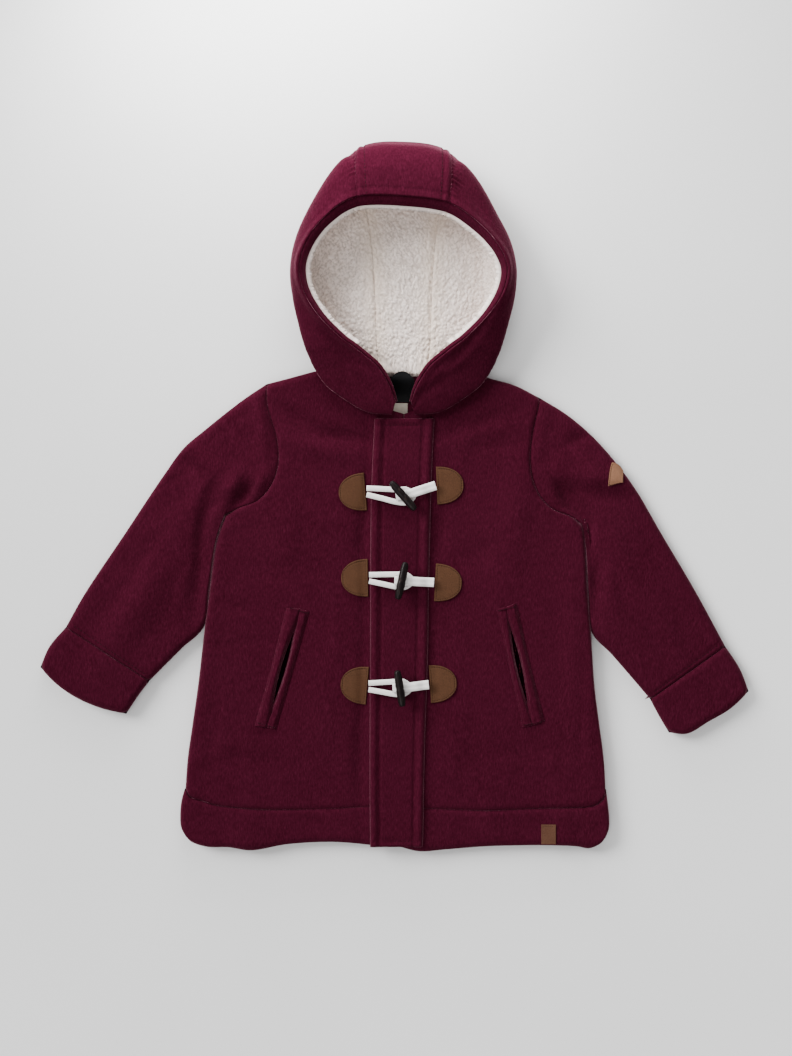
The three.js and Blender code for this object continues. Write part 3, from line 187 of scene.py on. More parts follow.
# Placket edges: left x, right x, y
PLACKET = [
    (-19.8, 42.7, 80.8), (-22.3, 40.2, 30.0), (-23.9, 38.5, -25.3), (-24.2, 36.6, -105.0),
    (-24.4, 35.9, -160.5), (-24.9, 33.0, -250.0), (-25.0, 31.7, -300.0), (-24.6, 31.2, -345.0),
    (-24.4, 30.4, -366.5),
]
PLACKET_CLOTH = 2.8
PLACKET_RIDGE = 2.3
RIDGE_WIDTH = 10.5

# Welts: name, slit from, slit to, outer edge from, outer edge to
WELTS = [
    ("left", (-97.6, -118.0), (-132.6, -241.5), (-109.2, -117.0), (-142.6, -240.5)),
    ("right", (117.4, -116.0), (145.0, -239.5), (126.0, -112.6), (155.0, -236.0)),
]
WELT_CLOTH = 2.2
LIP_WIDTH, INNER_LIP, MOUTH_HALF = 9.5, 8.0, 4.0

# Closures: name, toggle from and to, left patch x, y and turn, right patch x, y and turn
CLOSURES = [
    ("top", (-3.2, 14.4), (22.8, -15.0), (-29.2, 4.5, 185), (45.0, 10.6, 2)),
    ("middle", (12.6, -68.8), (4.2, -107.9), (-26.6, -85.6, 181), (43.3, -90.3, -3)),
    ("bottom", (3.7, -181.0), (9.3, -219.0), (-27.2, -198.4, 175), (37.9, -196.6, 3.5)),
]
PATCH_HEIGHT, PATCH_LENGTH = 38.5, 28.0
TOGGLE_RADIUS = 4.4
CORD_WIDTH, CORD_THICK = 6.0, 2.8

# Hood sections: rim, side, under and seam, each as distance from the middle, y and z; band width
HOOD_MIDDLE = 10.3
CHEST = BODY_HEIGHT + 0.6
HOOD = np.array([
    (48, 303, 60, 50, 331, 57, 50.5, 350, 47, 50, 357.5, 31, 9.5),
    (60, 297.5, 60.2, 60, 344, 44, 57, 350, 22, 50, 355, 12, 9.5),
    (74, 288, 60, 74, 333, 37, 64, 328, 5, 48, 338, 0, 9.5),
    (90, 273, 59.5, 93.5, 301.6, 36, 76, 296, 0, 42, 312, 0, 9.2),
    (103, 254, 58.5, 109.5, 268.5, 35, 84, 266, 0, 36, 284, 0, 9),
    (109, 233, 57, 116.7, 236, 34, 86, 236, 0, 32, 250, 0, 8.6),
    (104, 209, 54, 115.2, 205, 33, 86, 206, 0, 30, 215, 0, 8),
    (88, 184, 50, 109, 178, 31, 82, 181, 0, 29, 185, 0, 7),
    (66, 163, 45, 102, 154, 29, 78, 160, 0, 28, 158, 0, 6),
    (52, 153, 42.5, 97.5, 143, 26, 78, 147, 2, 28, 131, 0.4, 5.6),
    (40, 144, 40, 92.5, 131.5, 24, 80, 139, CHEST + 0.8, 55, 135.5, CHEST + 0.6, 5.2),
    (28, 134, 38, 81, 115, 22.5, 71, 121, CHEST, 61, 124, CHEST, 4.8),
    (18.5, 121, 35.5, 63, 101, 22, 54, 107, CHEST, 44, 109, CHEST, 4.2),
    (12, 108, 33, 38, 87, 21.5, 33, 93, CHEST, 25, 97, CHEST, 3.2),
    (8.4, 97, 30, 12, 84.4, 22.5, 11.5, 87.5, CHEST + 0.2, 9.5, 92, CHEST + 0.2, 2.4),
])
RIM_TILT, RIM_TILT_FROM, RIM_TILT_FADE = 0.07, 222.0, 70.0
CROWN_BULGE = 9.4
LIP_SLOPE = 0.8
NECK_AT = 0.65

NECK_LABEL = dict(x=9.0, bottom=98.0, top=130.0, width=26.0)
SIZE_TAG = dict(x=7.4, bottom=81.0, top=97.0, width=15.0)
HEM_LABEL = dict(left=154.2, right=169.4, top=-343.0, bottom=-363.6)
# Corners of the sleeve patch: distance from the sleeve's outer edge and share of its length
SLEEVE_PATCH = [(29.2, 0.3034), (9.4, 0.3659), (4.9, 0.3025), (1.1, 0.353)]
SLEEVE_PATCH_BOW = 2.2

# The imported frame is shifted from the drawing: the top toggle shows by how much
TOGGLE_AT = (9.8, -0.3)
low, high = (np.array(corner) * 1000 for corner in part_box("toggle_top"))
SHIFT = np.array([(low[0] + high[0]) / 2 - TOGGLE_AT[0], (low[1] + high[1]) / 2 - TOGGLE_AT[1], 0.0])

TOWARDS = {"left": -1.0, "right": 1.0}
SIDES = ("left", "right")


# ---- Curves and surfaces

def pick(rows, side):
    at = 0 if side == "left" else 2
    return [row[at:at + 2] for row in rows]


def catmull(points, t, centripetal=True):
    """Points of a Catmull-Rom spline at shares t of its parameter"""
    points = np.asarray(points, float)
    padded = np.vstack([2 * points[0] - points[1], points, 2 * points[-1] - points[-2]])
    count = len(points) - 1
    place = np.clip(np.asarray(t, float), 0, 1) * count
    i = np.minimum(place.astype(int), count - 1)
    w = (place - i)[:, None]
    p0, p1, p2, p3 = padded[i], padded[i + 1], padded[i + 2], padded[i + 3]
    if centripetal:
        d0, d1, d2 = (
            np.maximum(np.linalg.norm(b - a, axis=1, keepdims=True), 1e-6) ** 0.5
            for a, b in ((p0, p1), (p1, p2), (p2, p3))
        )
        m1 = ((p1 - p0) / d0 - (p2 - p0) / (d0 + d1) + (p2 - p1) / d1) * d1
        m2 = ((p2 - p1) / d1 - (p3 - p1) / (d1 + d2) + (p3 - p2) / d2) * d1
    else:
        m1, m2 = (p2 - p0) / 2, (p3 - p1) / 2
    return (
        p1 + m1 * w + (3 * (p2 - p1) - 2 * m1 - m2) * w ** 2 + (2 * (p1 - p2) + m1 + m2) * w ** 3
    )


def curve(points):
    """A smooth curve through points, as a function of the share of its length"""
    samples = catmull(points, np.linspace(0, 1, 40 * (len(points) - 1) + 1))
    lengths = np.concatenate([[0], np.cumsum(np.linalg.norm(np.diff(samples, axis=0), axis=1))])

    def at(t):
        t = np.clip(np.asarray(t, float), 0, 1) * lengths[-1]
        return np.stack([np.interp(t, lengths, samples[:, k]) for k in range(samples.shape[1])], -1)
    return at


def shifted(line, distance, steps=200):
    """The same curve moved sideways by a distance"""
    points = line(np.linspace(0, 1, steps + 1))
    way = np.gradient(points, axis=0)
    way /= np.linalg.norm(way, axis=1, keepdims=True)
    points = points + distance * np.stack([-way[:, 1], way[:, 0]], -1)
    share = np.linspace(0, 1, steps + 1)
    return lambda t: np.stack([np.interp(t, share, points[:, k]) for k in range(2)], -1)


def backwards(line):
    return lambda t: line(1 - np.asarray(t, float))


def joined(first, second, share):
    def at(t):
        t = np.asarray(t, float)
        a = first(np.clip(t / share, 0, 1))
        b = second(np.clip((t - share) / (1 - share), 0, 1))
        return np.where((t < share)[..., None], a, b)
    return at


def straight(a, b):
    a, b = np.array(a, float), np.array(b, float)
    return lambda t: a + (b - a) * np.asarray(t, float)[..., None]


def moved(line, x, y):
    return lambda t: line(t) + np.array([x, y])


def plan(start, end, near, far):
    """A patch of cloth in plan, between four edge curves that share their corners"""
    c = [near(np.array(0.0)), near(np.array(1.0)), far(np.array(0.0)), far(np.array(1.0))]

    def at(u, v):
        uu, vv = u[..., None], v[..., None]
        return (
            start(v) * (1 - uu) + end(v) * uu + near(u) * (1 - vv) + far(u) * vv
            - c[0] * (1 - uu) * (1 - vv) - c[1] * uu * (1 - vv) - c[2] * (1 - uu) * vv - c[3] * uu * vv
        )
    return at


def ridges(x, y, rows):
    """Height of a table of soft folds"""
    height = np.zeros_like(x)
    for mx, my, turn, length, width, rise in rows:
        c, s = math.cos(math.radians(turn)), math.sin(math.radians(turn))
        along = (x - mx) * c + (y - my) * s
        across = (y - my) * c - (x - mx) * s
        height += rise * np.exp(-(along / length) ** 2 - (across / width) ** 2)
    return height


def smooth(x, a, b):
    t = np.clip((x - a) / (b - a), 0, 1)
    return t * t * (3 - 2 * t)


def over_height(x, y):
    """Height of all folds; a trough stops where the cloth would meet the layer below"""
    height = ridges(x, y, FOLDS) + 1.3 * ridges(x, y, CREASES) + ridges(x, y, HOLLOWS)
    return np.where(height < 0, -DEEPEST * np.tanh(-height / DEEPEST), height)


def under_height(x, y):
    return np.maximum(0, ridges(x, y, UNDER_CREASES))


def chest_top(x, y):
    return BODY_HEIGHT + over_height(x, y)


def fixed(turn):
    return lambda t: np.full_like(np.asarray(t, float), turn)


def turned(share, distance):
    return np.maximum(0, np.sin(share * math.pi / 2) - distance / EDGE_TURN)


def laid(flat, height, face, turns, u, v):
    """The outer surface of a laid piece: level in the middle, turned at its edges"""
    place = flat(u, v)
    across = np.linalg.norm(flat(np.zeros_like(v), v) - flat(np.ones_like(v), v), axis=-1)
    along = np.linalg.norm(flat(u, np.zeros_like(u)) - flat(u, np.ones_like(u)), axis=-1)
    turn_u = np.maximum(
        turned(turns["start"](v), u * across), turned(turns["end"](v), (1 - u) * across)
    )
    turn_v = np.maximum(
        turned(turns["near"](u), v * along), turned(turns["far"](u), (1 - v) * along)
    )
    level = np.sqrt(1 - np.minimum(1, turn_u ** 2 + turn_v ** 2))
    x, y = place[..., 0], place[..., 1]
    crease = over_height(x, y) if face > 0 else under_height(x, y)
    z = height / 2 + face * (REST_GAP / 2 + (height / 2 - REST_GAP / 2) * level) + crease * level
    return np.concatenate([place, z[..., None]], -1)


EDGE_STOPS = np.array([0, 0.25, 0.6, 1.1, 1.8, 2.7, 3.9, 5.4, 7.2, 9.4, 12.0])


def stops(length, step, start=True, end=True, extra=()):
    """Shares of a length: close together at its edges and even between"""
    first = EDGE_STOPS / length if start else np.array([0.0])
    last = 1 - EDGE_STOPS / length if end else np.array([1.0])
    count = max(2, int(round((last.min() - first.max()) * length / step)))
    even = np.linspace(first.max(), last.min(), count + 1)
    found = np.unique(np.round(np.concatenate([first, even, last, np.array(extra, float)]), 7))
    keep = np.concatenate([[True], np.diff(found) > 0.12 / length])
    return found[keep]


def normals(grid, outwards, ring=False):
    """Unit normals of a grid of points, pointing the way that outwards gives"""
    if ring:
        across = np.roll(grid, -1, 1) - np.roll(grid, 1, 1)
    else:
        across = np.gradient(grid, axis=1)
    n = np.cross(across, np.gradient(grid, axis=0))
    n /= np.maximum(np.linalg.norm(n, axis=-1, keepdims=True), 1e-9)
    return n * np.sign((n * outwards(grid)).sum())


def up(grid):
    return np.broadcast_to(np.array([0.0, 0.0, 1.0]), grid.shape)


def down(grid):
    return -up(grid)


def inner_grid(outer, height, thickness, outwards, ring=False):
    """The inside of a laid wall, which never passes the middle of the flat coat"""
    n = normals(outer, outwards, ring)
    above = outer[..., 2] - height / 2
    against, upright = n[..., 2] * above < 0, np.abs(n[..., 2]) > 0.6
    n = np.where((against & upright)[..., None], -n, n)
    n[..., 2] = np.where((against & ~upright) | (np.abs(above) < REST_GAP), 0, n[..., 2])
    n /= np.maximum(np.linalg.norm(n, axis=-1, keepdims=True), 1e-9)
    shelf = (np.abs(above) < REST_GAP) & (np.linalg.norm(normals(outer, outwards, ring)[..., :2], axis=-1) < 0.3)
    n = np.where(shelf[..., None], 0, n)
    inner = outer - n * thickness
    if not ring:
        step = (inner - outer)[..., :2]
        outwards_ = (step * (outer.mean((0, 1)) - outer)[..., :2]).sum(-1) < 0
        astray = outwards_ & (np.linalg.norm(step, axis=-1) > 1.5)
        inner[..., :2] = np.where(astray[..., None], outer[..., :2], inner[..., :2])
    face = np.sign(np.round(above * 100))
    inner[..., 2] = height / 2 + face * np.maximum(REST_GAP / 2, face * (inner[..., 2] - height / 2))
    return inner


# ---- Meshes

def grid_faces(rows, columns, ring=False, first=0, flip=False):
    i, j = np.meshgrid(np.arange(rows - 1), np.arange(columns if ring else columns - 1), indexing="ij")
    k = (j + 1) % columns
    quads = np.stack([i * columns + j, i * columns + k, (i + 1) * columns + k, (i + 1) * columns + j], -1)
    quads = quads.reshape(-1, 4) + first
    return quads[:, ::-1] if flip else quads


def strip_faces(a, b, flip=False):
    quads = np.stack([a[:-1], a[1:], b[1:], b[:-1]], -1)
    return quads[:, ::-1] if flip else quads


def volume(points, quads):
    a, b, c, d = (points[quads[:, k]] for k in range(4))
    return ((a * np.cross(b, c)).sum() + (a * np.cross(c, d)).sum()) / 6


def make(name, points, quads, material, smooth_shade=True):
    points = np.asarray(points, float).reshape(-1, 3)
    quads = np.asarray(quads)
    centred = points - points.mean(0)
    if volume(centred, quads) < 0:
        quads = quads[:, ::-1]
    mesh = bpy.data.meshes.new(name)
    mesh.from_pydata(((points + SHIFT) / 1000).tolist(), [], quads.tolist())
    mesh.validate()
    mesh.polygons.foreach_set("use_smooth", [smooth_shade] * len(mesh.polygons))
    mesh.update()
    thing = bpy.data.objects.new(name, mesh)
    bpy.context.scene.collection.objects.link(thing)
    thing.data.materials.append(material)
    return thing


def wall(name, outer, inner, material, ring=False):
    """A closed wall between an outer and an inner grid"""
    rows, columns = outer.shape[:2]
    total = rows * columns
    points = np.concatenate([outer.reshape(-1, 3), inner.reshape(-1, 3)])
    at = np.arange(total).reshape(rows, columns)
    quads = [grid_faces(rows, columns, ring), grid_faces(rows, columns, ring, total, True)]
    around = np.concatenate([at, at[:, :1]], 1) if ring else at
    quads.append(strip_faces(around[0] + total, around[0]))
    quads.append(strip_faces(around[-1], around[-1] + total))
    if not ring:
        quads.append(strip_faces(at[:, 0], at[:, 0] + total))
        quads.append(strip_faces(at[:, -1] + total, at[:, -1]))
    return make(name, points, np.concatenate(quads), material)


def loft(name, rings, material):
    """A closed body through a row of rings, with pointed ends"""
    rows, columns = rings.shape[:2]
    points = rings.reshape(-1, 3)
    quads = [grid_faces(rows, columns, True)]
    points = np.concatenate([points, rings[0].mean(0)[None], rings[-1].mean(0)[None]])
    for middle, start, flip in ((rows * columns, 0, True), (rows * columns + 1, (rows - 1) * columns, False)):
        j = np.arange(columns)
        fan = np.stack([np.full(columns, middle), start + j, start + (j + 1) % columns], -1)
        fan = np.concatenate([fan, fan[:, 2:]], 1)
        quads.append(fan[:, ::-1] if flip else fan)
    faces = np.concatenate(quads)
    clean = [list(dict.fromkeys(face)) for face in faces.tolist()]
    if volume(points - points.mean(0), faces) < 0:
        clean = [face[::-1] for face in clean]
    mesh = bpy.data.meshes.new(name)
    mesh.from_pydata(((points + SHIFT) / 1000).tolist(), [], clean)
    mesh.validate()
    mesh.polygons.foreach_set("use_smooth", [True] * len(mesh.polygons))
    mesh.update()
    thing = bpy.data.objects.new(name, mesh)
    bpy.context.scene.collection.objects.link(thing)
    thing.data.materials.append(material)
    return thing


def rounded(outer, inner, n, distance, thickness):
    """Rounds the free edge of a wall, from the distance of each point to that edge"""
    r = thickness / 2
    d = np.clip(distance, 0, r)
    sink = (r - np.sqrt(np.maximum(0, r ** 2 - (r - d) ** 2)))[..., None] * 0.96
    return outer - n * sink, inner + n * sink


def dress(piece, nodes):
    """Says what a piece rides on and what it stands for"""
    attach(piece, "root")
    if nodes:
        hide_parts(*([nodes] if isinstance(nodes, str) else nodes))
    return piece


def cloth(piece, node):
    dress(piece, node)
    return piece


# ---- Materials

class Paint:
    """A node material with a few shorthands"""

    def __init__(self, name):
        self.material = bpy.data.materials.new(name)
        self.material.use_nodes = True
        self.tree = self.material.node_tree
        self.shader = self.tree.nodes["Principled BSDF"]
        self.coords = self.tree.nodes.new("ShaderNodeTexCoord").outputs["Object"]

    def node(self, kind, **settings):
        found = self.tree.nodes.new(kind)
        for name, value in settings.items():
            if hasattr(found, name):
                setattr(found, name, value)
            else:
                found.inputs[name.replace("_", " ").title()].default_value = value
        return found

    def link(self, a, b):
        self.tree.links.new(a, b)

    def stretched(self, scale, turn=(0, 0, 0)):
        mapping = self.node("ShaderNodeMapping")
        mapping.inputs["Scale"].default_value = scale
        mapping.inputs["Rotation"].default_value = turn
        self.link(self.coords, mapping.inputs["Vector"])
        return mapping.outputs["Vector"]

    def noise(self, scale, detail=4.0, roughness=0.55, vector=None, distortion=0.0):
        found = self.node(
            "ShaderNodeTexNoise", scale=scale, detail=detail, roughness=roughness, distortion=distortion
        )
        self.link(vector or self.coords, found.inputs["Vector"])
        return found.outputs["Fac"]

    def cells(self, scale, vector=None, feature="F1"):
        found = self.node("ShaderNodeTexVoronoi", scale=scale, feature=feature)
        self.link(vector or self.coords, found.inputs["Vector"])
        return found.outputs["Distance"]

    def ramp(self, value, stops_):
        found = self.node("ShaderNodeValToRGB")
        elements = found.color_ramp.elements
        while len(elements) < len(stops_):
            elements.new(0.5)
        for element, (place, colour) in zip(elements, stops_):
            element.position = place
            element.color = (*colour, 1)
        self.link(value, found.inputs["Fac"])
        return found.outputs["Color"]

    def mix(self, a, b, factor, blend="MIX"):
        found = self.node("ShaderNodeMix", data_type="RGBA", blend_type=blend)
        for socket, value in ((found.inputs[6], a), (found.inputs[7], b)):
            if isinstance(value, tuple):
                socket.default_value = (*value, 1)
            else:
                self.link(value, socket)
        if isinstance(factor, float):
            found.inputs[0].default_value = factor
        else:
            self.link(factor, found.inputs[0])
        return found.outputs[2]

    def maths(self, operation, a, b=0.0):
        found = self.node("ShaderNodeMath", operation=operation)
        for socket, value in ((found.inputs[0], a), (found.inputs[1], b)):
            if isinstance(value, (int, float)):
                socket.default_value = value
            else:
                self.link(value, socket)
        return found.outputs[0]

    def bump(self, height, strength, distance, under=None):
        found = self.node("ShaderNodeBump", strength=strength, distance=distance)
        self.link(height, found.inputs["Height"])
        if under:
            self.link(under, found.inputs["Normal"])
        return found.outputs["Normal"]

    def finish(self, colour, normal=None, roughness=0.9, sheen=0.0, sheen_rough=0.5,
               tint=(1, 1, 1), specular=0.3, coat=0.0):
        shader = self.shader
        if isinstance(colour, tuple):
            shader.inputs["Base Color"].default_value = (*colour, 1)
        else:
            self.link(colour, shader.inputs["Base Color"])
        if normal:
            self.link(normal, shader.inputs["Normal"])
        if isinstance(roughness, float):
            shader.inputs["Roughness"].default_value = roughness
        else:
            self.link(roughness, shader.inputs["Roughness"])
        shader.inputs["Sheen Weight"].default_value = sheen
        shader.inputs["Sheen Roughness"].default_value = sheen_rough
        shader.inputs["Sheen Tint"].default_value = (*tint, 1)
        shader.inputs["Specular IOR Level"].default_value = specular
        shader.inputs["Coat Weight"].default_value = coat
        shader.inputs["Coat Roughness"].default_value = 0.1
        return self.material


def wool(name, dark, middle, light, sheen, tint):
    """Brushed wool: a fine nap combed one way over a felted weave"""
    paint = Paint(name)
    nap = paint.noise(1.0, 4.0, 0.6, paint.stretched((820, 210, 620)))
    felt = paint.noise(360.0, 3.0, 0.55)
    mottle = paint.noise(95.0, 3.0, 0.55)
    patches = paint.noise(14.0, 3.0, 0.5)
    body = paint.ramp(nap, [(0.28, dark), (0.5, middle), (0.76, light)])
    cloudy = paint.mix(body, dark, paint.maths("MULTIPLY", paint.maths("SUBTRACT", mottle, 0.42), 0.9))
    colour = paint.mix(cloudy, light, paint.maths("MULTIPLY", paint.maths("SUBTRACT", patches, 0.38), 0.35))
    normal = paint.bump(felt, 0.6, 0.0008, paint.bump(nap, 0.6, 0.0007))
    return paint.finish(colour, normal, 0.95, sheen, 0.34, tint, 0.0)


WOOL = wool("wool", (0.025, 0.002, 0.0068), (0.039, 0.0036, 0.0112), (0.06, 0.0066, 0.019), 0.34, (1, 0.42, 0.56))
# A near-black copy of the wool, used only as painted shade in the pocket mouths
POCKET_SHADE = wool("pocket_painted_shade", (0.0015, 0.0001, 0.0004), (0.003, 0.0003, 0.001), (0.006, 0.0006, 0.002), 0.0, (1, 1, 1))


def sherpa_paint():
    """Curly pile: creamy tufts, with painted shade making them darker and warmer down between them, and a warmer,
    slightly darker tone beside the seams
    """
    paint = Paint("sherpa")
    depth = paint.node("ShaderNodeAttribute", attribute_name="pile_depth").outputs["Fac"]
    warmth = paint.node("ShaderNodeAttribute", attribute_name="pile_warmth").outputs["Fac"]
    fuzz = paint.noise(900.0, 4.0, 0.6)
    patches = paint.noise(34.0, 3.0, 0.55)
    # Painted shade: the deeper a point lies down between the curls, the darker and warmer its colour
    tufts = paint.ramp(depth, [(0.0, (0.94, 0.83, 0.77)), (0.5, (0.86, 0.74, 0.675)), (1.0, (0.5, 0.41, 0.36))])
    warm = paint.mix(tufts, (0.84, 0.69, 0.56), paint.maths("MULTIPLY", warmth, 0.55))
    cloudy = paint.mix(warm, (0.7, 0.6, 0.54), paint.maths("MULTIPLY", paint.maths("SUBTRACT", patches, 0.4), 0.8))
    return paint.finish(cloudy, paint.bump(fuzz, 0.5, 0.0006), 1.0, 0.15, 0.6, (1, 0.97, 0.94), 0.0)


def leather(name, dark, light, edge):
    """Brushed leather-like cloth with a short suede nap"""
    paint = Paint(name)
    grain = paint.noise(1400.0, 4.0, 0.6)
    worn = paint.noise(90.0, 4.0, 0.55)
    fine = paint.ramp(grain, [(0.3, dark), (0.7, light)])
    colour = paint.mix(fine, edge, paint.maths("MULTIPLY", paint.maths("SUBTRACT", worn, 0.45), 0.6))
    return paint.finish(colour, paint.bump(grain, 0.5, 0.0004), 0.8, 0.1, 0.4, light, 0.12)


def woven(name, colour, shade, scale=1500.0, roughness=0.9):
    """Plain woven cotton or tape"""
    paint = Paint(name)
    waves = [
        paint.node("ShaderNodeTexWave", wave_type="BANDS", bands_direction=axis, scale=scale / 5, distortion=0.6)
        for axis in ("X", "Y")
    ]
    for wave in waves:
        paint.link(paint.coords, wave.inputs["Vector"])
    weave = paint.maths("MULTIPLY", waves[0].outputs["Fac"], waves[1].outputs["Fac"])
    mottled = paint.mix(shade, colour, paint.maths("ADD", weave, paint.noise(240.0, 3.0)))
    return paint.finish(mottled, paint.bump(weave, 0.5, 0.0003), roughness, 0.0, 0.5, (1, 1, 1), 0.12)


def horn_paint():
    """Polished dark horn with long faint streaks"""
    paint = Paint("horn")
    streaks = paint.noise(1.0, 4.0, 0.55, paint.stretched((900, 160, 900)), 0.6)
    colour = paint.ramp(streaks, [(0.3, (0.003, 0.002, 0.002)), (0.6, (0.008, 0.005, 0.005)), (0.8, (0.05, 0.03, 0.024))])
    scuffs = paint.noise(700.0, 5.0, 0.6)
    rough = paint.maths("ADD", paint.maths("MULTIPLY", scuffs, 0.3), 0.2)
    return paint.finish(colour, paint.bump(scuffs, 0.12, 0.0002), rough, 0, 0.5, (1, 1, 1), 0.12, 0.03)


SHERPA_PILE = sherpa_paint()
BROWN_LEATHER = leather("brown_leather", (0.042, 0.017, 0.008), (0.085, 0.037, 0.017), (0.11, 0.052, 0.026))
TAN_LEATHER = leather("tan_leather", (0.14, 0.065, 0.036), (0.26, 0.13, 0.076), (0.32, 0.17, 0.1))
HEM_LEATHER = leather("hem_leather", (0.05, 0.02, 0.012), (0.1, 0.045, 0.026), (0.13, 0.062, 0.037))
COTTON = woven("cotton", (0.93, 0.91, 0.88), (0.74, 0.71, 0.67))
TAG_CLOTH = woven("tag_cloth", (0.36, 0.32, 0.27), (0.22, 0.19, 0.16), 2400.0)
BLACK_TAPE = woven("black_tape", (0.004, 0.004, 0.005), (0.002, 0.002, 0.002), 2400.0, 0.7)
HORN = horn_paint()
WOOL_THREAD = woven("wool_thread", (0.022, 0.0016, 0.006), (0.012, 0.0008, 0.003), 3000.0)
BROWN_THREAD = woven("brown_thread", (0.025, 0.011, 0.006), (0.012, 0.005, 0.003), 3000.0)


# ---- Stitches

def stitches(name, line, lift, pitch, length, width, material):
    """A row of short threads along a line of points that lies on the cloth"""
    line = np.asarray(line, float)
    lengths = np.concatenate([[0], np.cumsum(np.linalg.norm(np.diff(line, axis=0), axis=1))])
    at = np.arange(pitch / 2, lengths[-1] - length / 2, pitch)
    rings, quads = [], []
    profile = [(-0.5, -0.25), (-0.34, 0.32), (0.0, 0.5), (0.34, 0.32), (0.5, -0.25)]
    for number, place in enumerate(at):
        ends = [
            np.array([np.interp(place + s * length, lengths, line[:, k]) for k in range(3)])
            for s in (-0.5, -0.25, 0.25, 0.5)
        ]
        way = ends[-1] - ends[0]
        way /= max(np.linalg.norm(way), 1e-9)
        side = np.cross((0, 0, 1), way)
        side /= max(np.linalg.norm(side), 1e-9)
        rise = np.cross(way, side)
        for spot, high in zip(ends, (-0.55, 0.1, 0.1, -0.55)):
            for a, b in profile:
                rings.append(spot + side * a * width + rise * (b * width * 0.8 + lift + high * width))
        first = number * 20
        for i in range(3):
            for j in range(5):
                k = (j + 1) % 5
                quads.append([first + i * 5 + j, first + i * 5 + k, first + (i + 1) * 5 + k, first + (i + 1) * 5 + j])
        quads.append([first + 4, first + 3, first + 2, first + 1])
        quads.append([first + 1, first + 0, first + 4, first + 4])
        quads.append([first + 16, first + 17, first + 18, first + 19])
        quads.append([first + 19, first + 15, first + 16, first + 16])
    clean = [list(dict.fromkeys(face)) for face in quads]
    points = np.array(rings)
    mesh = bpy.data.meshes.new(name)
    mesh.from_pydata(((points + SHIFT) / 1000).tolist(), [], clean)
    mesh.validate()
    mesh.polygons.foreach_set("use_smooth", [True] * len(mesh.polygons))
    mesh.update()
    thing = bpy.data.objects.new(name, mesh)
    bpy.context.scene.collection.objects.link(thing)
    thing.data.materials.append(material)
    return dress(thing, None)


# ---- Body

def side_turn(seam_turn):
    return lambda v: FULL_TURN + (seam_turn - FULL_TURN) * smooth(
        np.asarray(v, float), UNDERARM_SHARE + 0.002, UNDERARM_SHARE + 0.04
    )


def body_side(side):
    return joined(
        backwards(curve(pick(SIDE_SEAM, side))),
        shifted(curve(pick(ARMHOLE, side)), TOWARDS[side] * SEAM_GAP / 2),
        UNDERARM_SHARE,
    )


def across_back(rows):
    return joined(backwards(curve(pick(rows, "left"))), curve(pick(rows, "right")), 0.5)


CELL = 3.4


def build_front(side):
    centre = moved(curve(CENTRE_FRONT), TOWARDS[side] * SEAM_GAP / 2, 0)
    top = joined(curve(pick(FRONT_NECK, side)), curve(pick(SHOULDER, side)), NECK_SHARE)
    flat = plan(centre, body_side(side), moved(curve(pick(HEM_SEAM, side)), 0, SEAM_GAP / 2), top)
    turns = {
        "start": fixed(FLAT),
        "end": side_turn(SEAM_TURN),
        "near": fixed(SEAM_TURN),
        "far": lambda u: FULL_TURN * smooth(np.asarray(u, float), NECK_SHARE - 0.06, NECK_SHARE + 0.02),
    }
    u, v = np.meshgrid(stops(200, CELL, False), stops(440, CELL, extra=[UNDERARM_SHARE]))
    outer = laid(flat, BODY_HEIGHT, 1, turns, u, v)
    piece = wall(f"front_{side}_cloth", outer, inner_grid(outer, BODY_HEIGHT, BODY_CLOTH, up), WOOL)
    cloth(piece, f"front_{side}")


def build_back():
    shoulder_share = 0.27
    neck = joined(
        backwards(curve(pick(SHOULDER, "left"))),
        joined(
            across_back(BACK_NECK), curve(pick(SHOULDER, "right")),
            (1 - 2 * shoulder_share) / (1 - shoulder_share),
        ),
        shoulder_share,
    )
    flat = plan(body_side("left"), body_side("right"), moved(across_back(HEM_SEAM), 0, SEAM_GAP / 2), neck)

    def on_shoulder(u):
        u = np.asarray(u, float)
        return 1 - smooth(np.minimum(u, 1 - u), shoulder_share - 0.02, shoulder_share + 0.03)
    turns = {"start": side_turn(FLAT), "end": side_turn(FLAT), "near": fixed(FLAT), "far": on_shoulder}
    u, v = np.meshgrid(stops(400, CELL), stops(440, CELL, extra=[UNDERARM_SHARE]))
    outer = laid(flat, BODY_HEIGHT, -1, turns, u, v)
    piece = wall("back_cloth", outer, inner_grid(outer, BODY_HEIGHT, BODY_CLOTH, down), WOOL)
    cloth(piece, "back")


def build_hems():
    for side in SIDES:
        seam = moved(curve(pick(HEM_SEAM, side)), 0, -SEAM_GAP / 2)
        bottom = curve(pick(HEM_BOTTOM, side))
        flat = plan(
            straight(bottom(np.array(0.0)), seam(np.array(0.0))), curve(pick(HEM_SIDE, side)), bottom, seam
        )
        turns = {
            "start": fixed(FLAT), "end": fixed(FULL_TURN), "near": fixed(HEM_TURN), "far": fixed(SEAM_TURN)
        }
        u, v = np.meshgrid(stops(220, CELL, False), stops(42, 2.6))
        outer = laid(flat, BODY_HEIGHT, 1, turns, u, v)
        piece = wall(f"hem_{side}_cloth", outer, inner_grid(outer, BODY_HEIGHT, BODY_CLOTH, up), WOOL)
        cloth(piece, f"hem_{side}")
    flat = plan(
        curve(pick(HEM_SIDE, "left")), curve(pick(HEM_SIDE, "right")), across_back(HEM_BOTTOM),
        moved(across_back(HEM_SEAM), 0, -SEAM_GAP / 2),
    )
    turns = {
        "start": fixed(FULL_TURN), "end": fixed(FULL_TURN), "near": fixed(SEAM_TURN), "far": fixed(FLAT)
    }
    u, v = np.meshgrid(stops(440, CELL), stops(42, 2.6))
    outer = laid(flat, BODY_HEIGHT, -1, turns, u, v)
    piece = wall("hem_back_cloth", outer, inner_grid(outer, BODY_HEIGHT, BODY_CLOTH, down), WOOL)
    cloth(piece, "hem_back")


# ---- Sleeves

